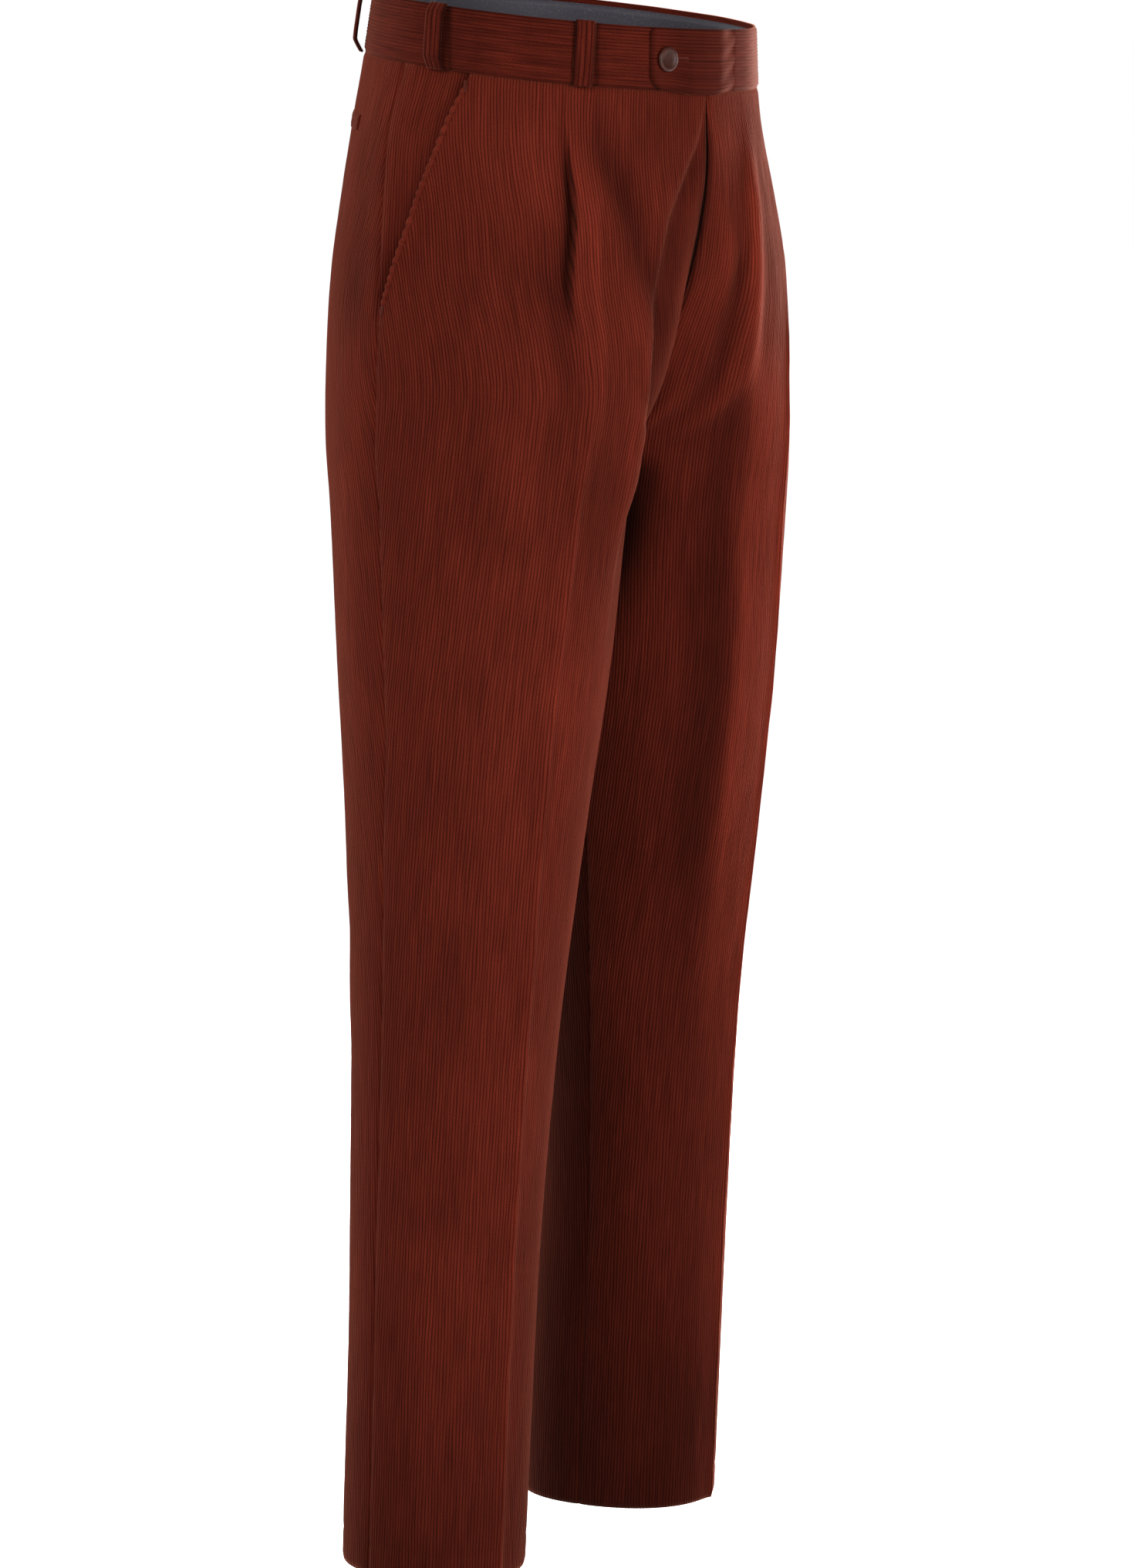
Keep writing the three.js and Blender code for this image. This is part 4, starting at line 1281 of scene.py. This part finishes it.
def level_cloth(name, rows, columns, point, wall, material, replaced, inner_rows=8,
                waled=True, shade=None):
    """A band with its wales lying along it. point(row, columns, out) places a row, 0 at the top to 1."""
    cloth = Cloth()
    length = np.concatenate(([0], np.cumsum(np.abs(np.diff(columns)))))
    chains = []
    for row in rows:
        position = row * BAND_HEIGHT / WALE_PITCH
        height = float(wale(np.array([position]))[0]) if waled else 0.5
        thick = BAND_WALE_HEIGHT * (height - PILE_MIDDLE) if waled else 0.0
        lumps = 1 + BAND_LUMPS * np.sin(length / 4.3 + 4 * np.sin(position * 0.9))
        p = point(row, columns, thick * lumps)
        uvs = np.stack((np.full(len(columns), position), length / WALE_PITCH), axis=-1)
        # The band's folded top and bottom edges are painted darker: painted shade.
        at_edges = bell(row * BAND_HEIGHT, BAND_DIM_REACH) + bell(BAND_HEIGHT * (1 - row), BAND_DIM_REACH)
        painted_light = 1 - BAND_DIM * at_edges if waled else 1.0
        if shade:
            painted_light = painted_light * shade(columns)
        chains.append(cloth.add(p, uvs, np.full(len(columns), height), painted_light))
    cloth.rows(chains)
    picked = [round(i * (len(rows) - 1) / inner_rows) for i in range(inner_rows + 1)]
    inner = []
    for i in picked:
        p = point(rows[i], columns, np.full(len(columns), -wall))
        position = rows[i] * BAND_HEIGHT / WALE_PITCH
        uvs = np.stack((np.full(len(columns), position), length / WALE_PITCH), axis=-1)
        inner.append(cloth.add(p, uvs, np.full(len(columns), INNER_PILE)))
    cloth.rows(inner)
    cloth.strip(chains[0], inner[0])
    cloth.strip(chains[-1], inner[-1])
    for column in (0, -1):
        cloth.edge([chain[column] for chain in chains], picked, inner, column)
    return cloth.make(name, material, replaced)


BAND_ROWS = np.linspace(0, 1, int(BAND_HEIGHT / WALE_PITCH * WALE_COLUMNS) + 1)
half_waist = back_edge(0) - front_edge(0) - SEAM_GAP / 2


def close_ends(columns, near):
    """An extra column close to each end, so that the end's turned edge stays narrow."""
    return np.concatenate(([columns[0], columns[0] + near], columns[1:-1], [columns[-1] - near, columns[-1]]))


def across_front(level, reaches, out):
    """Points by distance from the middle front: negative on the wearer's right, positive on the left."""
    start = front_edge(level)
    right = placed(RIGHT, level, start + np.abs(reaches), out)
    left = placed(LEFT, level, start + np.abs(reaches), out)
    return np.where((reaches > 0)[:, None], left, right)


def band_wave(reaches):
    """The waistband isn't quite even along its length."""
    return 0.35 * np.sin(reaches / 23.0) + 0.25 * np.sin(reaches / 9.0 + 1.0)


def to_back_seam(level, reaches):
    """Reaches stretched towards the back, so that the band's end stays on the middle back seam."""
    extra = back_edge(level) - front_edge(level) - SEAM_GAP / 2 - half_waist
    size = np.abs(reaches)
    return np.sign(reaches) * (size + extra * smooth(size, 0.5 * half_waist, half_waist))


def waistband_left(row, reaches, out):
    level = -row * BAND_HEIGHT
    reaches = to_back_seam(level, reaches)
    total = BAND_PROUD + out + round_edges(level) + band_wave(reaches)
    total = total + groove(reaches - TAB_REACH_LEFT, *BAND_JOIN_GROOVE)
    return placed(LEFT, level, front_edge(level) + reaches, total)


def waistband_right(row, reaches, out):
    level = -row * BAND_HEIGHT
    reaches = to_back_seam(level, reaches)
    total = BAND_PROUD + out + round_edges(level) + band_wave(reaches) * smooth(-reaches, 60, 90)
    total = total - UNDERLAP_SINK * smooth(reaches, UNDERLAP_REACH - UNDERLAP_SINK_LENGTH, UNDERLAP_REACH)
    return across_front(level, reaches, total)


def loop_painted_shadow(word):
    """Painted shadow on the band along both edges of each loop."""
    def shade(reaches):
        total = np.zeros(len(reaches))
        for row in SIDE_LOOPS:
            centre = ring(0).at_angle(row[word]) - front_edge(0)
            distance = np.abs(np.abs(reaches) - centre) - LOOP_WIDTH / 2
            total += bell(distance - 0.4, LOOP_SHADE_REACH)
        return 1 - LOOP_SHADE * np.clip(total, 0, 1)
    return shade


left_band_columns = close_ends(np.linspace(TAB_REACH_LEFT + SEAM_GAP / 2, half_waist, 240), 0.2)
level_cloth(
    "band_left", BAND_ROWS, left_band_columns, waistband_left, BAND_WALL,
    CORDUROY_BAND, ("waistband_left",), shade=loop_painted_shadow("left"),
)
level_cloth(
    "band_right", BAND_ROWS, np.linspace(-half_waist, UNDERLAP_REACH, 280), waistband_right, BAND_WALL,
    CORDUROY_BAND, ("waistband_right",), shade=loop_painted_shadow("right"),
)


def corner_inset(distance, radius):
    if distance >= radius:
        return 0.0
    return radius - math.sqrt(radius ** 2 - (radius - distance) ** 2)


def waistband_tab(row, shares, out):
    """The tab: joined to the left waistband, then over the right one, with a rounded end and a lower edge."""
    top_drop = row * BAND_HEIGHT
    inset = corner_inset(top_drop, TAB_TOP_RADIUS) + corner_inset(BAND_HEIGHT - top_drop, TAB_BOTTOM_RADIUS)
    first = -TAB_REACH_RIGHT + inset
    last = TAB_REACH_LEFT - SEAM_GAP / 2
    reaches = first + (last - first) * shares
    joined = smooth(reaches, UNDERLAP_REACH - TAB_JOIN_LENGTH, TAB_REACH_LEFT - 1)
    over = TAB_OVER + (BAND_PROUD - TAB_OVER) * joined
    end = groove(reaches - first, *TAB_END_GROOVE)
    seam = groove(reaches - TAB_REACH_LEFT, *TAB_SEAM_GROOVE)
    pucker = 0.35 * np.sin(row * 19 + reaches / 7) * bell(reaches - TAB_REACH_LEFT + 8, 10)
    pull = 0.8 * bell(reaches + BUTTON_ARC - 16, 12) * math.sin(math.pi * row) * np.sin(row * 15)
    pad = out + round_edges(-top_drop) + end + seam + pucker + pull * 0.5
    drop = TAB_DROP * (1 - smooth(np.abs(reaches + 8), 10, 34)) * row ** 2
    points = np.empty((len(reaches), 3))
    for k, reach in enumerate(reaches):
        level = float(-top_drop - drop[k])
        points[k] = across_front(level, np.array([reach]), np.array([over[k] + pad[k]]))[0]
    return points


# The tab's rounded end is painted darker: painted shade along its edge.
level_cloth(
    "band_tab", BAND_ROWS, close_ends(np.linspace(0, 1, 46), 0.002), waistband_tab, BAND_WALL,
    CORDUROY_BAND, ("waistband_tab",),
    shade=lambda shares: 1 - 0.6 * bell(shares * (TAB_REACH_RIGHT + TAB_REACH_LEFT), 2.4),
)

for side, word in SIDES:
    def lining_point(row, reaches, out, side=side):
        level = -LINING_BELOW_EDGE - row * (LINING_DEPTH - LINING_BELOW_EDGE)
        behind = BAND_PROUD - BAND_WALL - LINING_GAP
        return placed(side, level, front_edge(level) + to_back_seam(level, reaches), behind + out)

    level_cloth(
        f"band_lining_{word}", np.linspace(0, 1, 9), np.linspace(UNDERLAP_REACH + 4, half_waist, 70),
        lining_point, LINING_WALL, TWILL, (f"waistband_lining_{word}",), waled=False,
    )


loop_curve = monotone_curve(
    np.array([row[0] for row in reversed(LOOP_PROFILE)], dtype=float),
    np.array([row[1] for row in reversed(LOOP_PROFILE)], dtype=float),
)


def belt_loop(name, side, angle, stand_off, top):
    """A folded strip with lengthwise wales, its ends on the band and its middle standing off."""
    cloth = Cloth()
    columns = np.linspace(0, 1, LOOP_WALES * LOOP_WALE_COLUMNS + 1)
    height = wale(columns * LOOP_WALES + 0.5)
    reaches = (columns - 0.5) * LOOP_WIDTH
    layers = ([], [])
    bottom = LOOP_PROFILE[-1][0]
    for level in np.linspace(top, bottom, LOOP_ROWS):
        lowered = (level - top) / (bottom - top) * bottom
        out = BAND_PROUD + STACK_GAP + float(loop_curve(lowered)) * (stand_off - STACK_GAP)
        on_band = min(level, 0.0)
        centre = ring(on_band).at_angle(angle)
        last = back_edge(on_band)
        arcs = centre + reaches
        past = arcs > last
        arcs = np.where(past, 2 * last - arcs, arcs)
        depth, reach = LOOP_EDGE_GROOVE
        at_edges = bell(reaches - LOOP_WIDTH / 2, reach) + bell(reaches + LOOP_WIDTH / 2, reach)
        above = LOOP_THICKNESS - depth * at_edges + LOOP_WALE_HEIGHT * (height - PILE_MIDDLE)
        for layer, distance in ((0, out + above), (1, out)):
            distance = np.broadcast_to(distance, arcs.shape)
            near = placed(side, on_band, arcs, distance)
            far = placed(-side, on_band, arcs, distance)
            p = np.where(past[:, None], far, near)
            p[:, 2] += level - on_band
            uvs = np.stack((columns * LOOP_WALES, np.full(len(columns), level / WALE_PITCH)), axis=-1)
            pile = height if layer == 0 else np.full(len(columns), INNER_PILE)
            # The loop's two long edges are painted darker: painted shade.
            layers[layer].append(cloth.add(p, uvs, pile, 1 - 0.75 * at_edges))
    cloth.closed(*layers)
    return cloth.make(f"loop_{name}", CORDUROY_BAND, (f"belt_loop_{name}",))


for side, word in SIDES:
    for row in SIDE_LOOPS:
        name = f"{row['name']}_{word}"
        belt_loop(name, side, row[word], row["standOff"], LOOP_TOP[word])
belt_loop(
    "middle_back", LEFT, MIDDLE_LOOP_ANGLE, LOOP_STAND_OFF, LOOP_TOP["left"],
)


def welt_levels():
    return WELT_LEVEL + WELT_HEIGHT / 2, WELT_LEVEL - WELT_HEIGHT / 2


for side, word in SIDES:
    def welt_point(row, reaches, out, side=side):
        high, low = welt_levels()
        level = high + (low - high) * row
        edge = groove(level - high, *WELT_TOP_GROOVE) + groove(level - low, *WELT_BOTTOM_GROOVE)
        arcs = back_edge(level) - WELT_FROM_MIDDLE - WELT_LENGTH + reaches
        return placed(side, level, arcs, BAND_PROUD + relief(side, level, arcs) + out + edge)

    level_cloth(
        f"pocket_welt_{word}", np.linspace(0, 1, 20), np.linspace(0, WELT_LENGTH, 60), welt_point,
        WELT_WALL, CORDUROY_BAND, (f"back_pocket_welt_{word}",), inner_rows=3,
    )


def front_strip(name, reach_right, reach_left, depth, wall, material, replaced):
    def point(row, reaches, out):
        level = STRIP_TOP + (STRIP_BOTTOM - STRIP_TOP) * row
        sunk = relief(RIGHT, level, front_edge(level) + np.maximum(-reaches, 0))
        return across_front(level, reaches, sunk - depth + out)

    return level_cloth(
        name, np.linspace(0, 1, 60), np.linspace(-reach_right, reach_left, 24), point, wall, material,
        replaced, inner_rows=20, waled=False,
    )


front_strip(
    "zip_tape", ZIP_HALF_WIDTH, ZIP_HALF_WIDTH, BEHIND_CLOTH, ZIP_WALL, ZIP_TAPE, ("zip_strip",),
)
front_strip(
    "fly_backing", SHIELD_REACH_RIGHT, SHIELD_REACH_LEFT, SHIELD_DEPTH, SHIELD_WALL, CORDUROY,
    ("fly_shield",),
)


def button_place():
    arc = np.array([front_edge(BUTTON_LEVEL) + BUTTON_ARC])
    seat = Vector(placed(RIGHT, BUTTON_LEVEL, arc, [TAB_OVER + 0.5])[0])
    foot = Vector(placed(RIGHT, BUTTON_LEVEL, arc, [0.0])[0])
    return seat, (seat - foot).normalized()


# Half outline of the button, as shares of its radius and heights: back, rim, dish.
BUTTON_OUTLINE = (
    (0, 0), (0.6, 0), (0.85, 0.3), (0.97, 1.0), (1, 1.6), (0.97, 2.3), (0.88, 2.85), (0.78, 2.95),
    (0.68, 2.75), (0.58, 2.45), (0.3, 2.3), (0, 2.25),
)

def turned(name, outline, material, replaced, slot):
    """A turned piece on the button's axis, built ring by ring from its outline."""
    mesh = bpy.data.meshes.new(name)
    work = bmesh.new()
    rings = []
    for r, h in outline:
        if r == 0:
            rings.append([work.verts.new((0, 0, h * MM))])
            continue
        rings.append([
            work.verts.new((r * MM * math.cos(a), r * MM * math.sin(a), h * MM))
            for a in np.linspace(0, 2 * math.pi, BUTTON_STEPS, endpoint=False)
        ])
    for a, b in zip(rings, rings[1:]):
        for i in range(BUTTON_STEPS):
            j = (i + 1) % BUTTON_STEPS
            corners = [a[i % len(a)], a[j % len(a)], b[j % len(b)], b[i % len(b)]]
            work.faces.new(list(dict.fromkeys(corners)))
    bmesh.ops.recalc_face_normals(work, faces=work.faces)
    seat, out = button_place()
    turn = out.to_track_quat("Z", "Y")
    bmesh.ops.rotate(work, verts=work.verts, cent=(0, 0, 0), matrix=turn.to_matrix())
    bmesh.ops.translate(work, verts=work.verts, vec=seat * MM)
    work.to_mesh(mesh)
    work.free()
    return finished(name, mesh, material, replaced)


radius = BUTTON_DIAMETER / 2
turned(
    "button_disc", [(r * radius, h) for r, h in BUTTON_OUTLINE], BUTTON, ("button",), "button",
)


def tube(points, radius, closed=False, sides=6):
    """Vertices and faces of a thin tube along points in millimetres."""
    points = np.asarray(points, dtype=float)
    count = len(points)
    vertices = []
    faces = []
    for i in range(count):
        before = points[i - 1] if (i > 0 or closed) else points[i]
        after = points[(i + 1) % count] if (i < count - 1 or closed) else points[i]
        along = unit((after - before)[None, :])[0]
        helper = np.array([0, 0, 1.0]) if abs(along[2]) < 0.9 else np.array([1.0, 0, 0])
        across = unit(np.cross(along, helper)[None, :])[0]
        other = np.cross(along, across)
        for k in range(sides):
            a = 2 * math.pi * k / sides
            vertices.append(points[i] + radius * (math.cos(a) * across + math.sin(a) * other))
    spans = count if closed else count - 1
    for i in range(spans):
        for k in range(sides):
            a = i * sides + k
            b = i * sides + (k + 1) % sides
            c = ((i + 1) % count) * sides + (k + 1) % sides
            d = ((i + 1) % count) * sides + k
            faces.append([a, b, c, d])
    if not closed:
        faces.append(list(range(sides)))
        faces.append([(count - 1) * sides + k for k in range(sides)])
    return vertices, faces


def stitch_piece(name, runs, radius, material):
    """One piece of many short threads, each a list of points."""
    vertices = []
    faces = []
    for run in runs:
        v, f = tube(run, radius)
        faces.extend([[i + len(vertices) for i in face] for face in f])
        vertices.extend(v)
    mesh = bpy.data.meshes.new(name)
    mesh.from_pydata((np.array(vertices) * MM).tolist(), [], faces)
    turn_faces_out(mesh)
    return finished(name, mesh, material, ())


def bartack(side, level, centre, length, out):
    """A bar of close stitches lying across the cloth."""
    runs = []
    for t in np.linspace(-0.5, 0.5, BARTACK_STITCHES):
        here = level + t * length
        arcs = np.array([centre - BARTACK_HALF_WIDTH, centre, centre + BARTACK_HALF_WIDTH])
        lift = np.array([-0.3, 0.35, -0.3])
        runs.append(placed(side, here, arcs, relief(side, here, arcs) + out + lift))
    return runs


for side, word in SIDES:
    runs = []
    top = mouth_arc(BARTACK_TOP_LEVEL) - 1.0
    bottom = mouth_arc(BARTACK_BOTTOM_LEVEL) - 2.0
    runs += bartack(side, BARTACK_TOP_LEVEL, top, BARTACK_TOP_LENGTH, 0.6)
    runs += bartack(side, BARTACK_BOTTOM_LEVEL, bottom, BARTACK_BOTTOM_LENGTH, 0.5)
    stitch_piece(f"pocket_bartacks_{word}", runs, STITCH_RADIUS, BARTACK_THREAD)

hole_runs = []
hole_from = BUTTON_ARC - BUTTON_DIAMETER / 2 - 1
hole_to = hole_from - HOLE_LENGTH
for t in np.linspace(0, 1, HOLE_STITCHES):
    for half in (-1, 1):
        arc = hole_from + (hole_to - hole_from) * t
        arcs = np.array([-arc, -arc])
        rise = half * np.array(HOLE_STITCH_RISES)
        run = np.stack([
            across_front(BUTTON_LEVEL + r, arcs[:1], np.array([TAB_OVER + STACK_GAP]))[0] for r in rise
        ])
        hole_runs.append(run)
stitch_piece("buttonhole_stitches", hole_runs, HOLE_STITCH_RADIUS, BARTACK_THREAD)

for word in ("right", "left"):
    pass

# Camera
camera_data = bpy.data.cameras.new("camera")
camera_data.sensor_fit = "HORIZONTAL"
camera_data.sensor_width = SENSOR_WIDTH
camera_data.lens = LENS
camera_data.clip_end = VIEW_END
camera = bpy.data.objects.new("camera", camera_data)
bpy.context.scene.collection.objects.link(camera)
camera.location = (
    -math.sin(CAMERA_AZIMUTH) * CAMERA_DISTANCE, -math.cos(CAMERA_AZIMUTH) * CAMERA_DISTANCE, CAMERA_HEIGHT,
)
look = Vector((
    math.sin(CAMERA_AZIMUTH) * math.cos(CAMERA_PITCH),
    math.cos(CAMERA_AZIMUTH) * math.cos(CAMERA_PITCH),
    -math.sin(CAMERA_PITCH),
))
camera.rotation_euler = look.to_track_quat("-Z", "Y").to_euler()
bpy.context.scene.camera = camera

# Floor, world and lights
floor_mesh = bpy.data.meshes.new("floor")
floor_corners = [(x * FLOOR_HALF, y * FLOOR_HALF, 0) for x, y in ((-1, -1), (1, -1), (1, 1), (-1, 1))]
floor_mesh.from_pydata(floor_corners, [], [(0, 1, 2, 3)])
floor_mesh.materials.append(plain_floor("pale_floor"))
floor = bpy.data.objects.new("floor", floor_mesh)
floor.location.z = FLOOR_LEVEL
bpy.context.scene.collection.objects.link(floor)
floor.visible_diffuse = False

world = bpy.data.worlds.new("studio")
world.use_nodes = True
world_nodes = world.node_tree.nodes
world_links = world.node_tree.links
ambient = world_nodes["Background"]
ambient.inputs["Color"].default_value = (1, 1, 1, 1)
ambient.inputs["Strength"].default_value = AMBIENT_STRENGTH
backdrop = world_nodes.new("ShaderNodeBackground")
backdrop.inputs["Color"].default_value = (1, 1, 1, 1)
backdrop.inputs["Strength"].default_value = 1.0
seen = world_nodes.new("ShaderNodeLightPath")
either = world_nodes.new("ShaderNodeMixShader")
world_links.new(seen.outputs["Is Camera Ray"], either.inputs["Fac"])
world_links.new(ambient.outputs["Background"], either.inputs[1])
world_links.new(backdrop.outputs["Background"], either.inputs[2])
world_links.new(either.outputs["Shader"], world_nodes["World Output"].inputs["Surface"])
bpy.context.scene.world = world


def area_light(name, azimuth, elevation, distance, size, power, height):
    """A soft square light aimed at a height. Azimuth 0 is in front, positive towards the wearer's left."""
    data = bpy.data.lights.new(name, "AREA")
    data.size = size
    data.energy = power
    light = bpy.data.objects.new(name, data)
    a, e = math.radians(azimuth), math.radians(elevation)
    way = Vector((math.sin(a) * math.cos(e), -math.cos(a) * math.cos(e), math.sin(e)))
    target = Vector((0, 0, height))
    light.location = target + way * distance
    light.rotation_euler = (-way).to_track_quat("-Z", "Y").to_euler()
    bpy.context.scene.collection.objects.link(light)
    light.visible_camera = False


for row in LIGHTS:
    area_light(*row)

bpy.context.scene.view_settings.view_transform = "Standard"

bpy.context.view_layer.update()
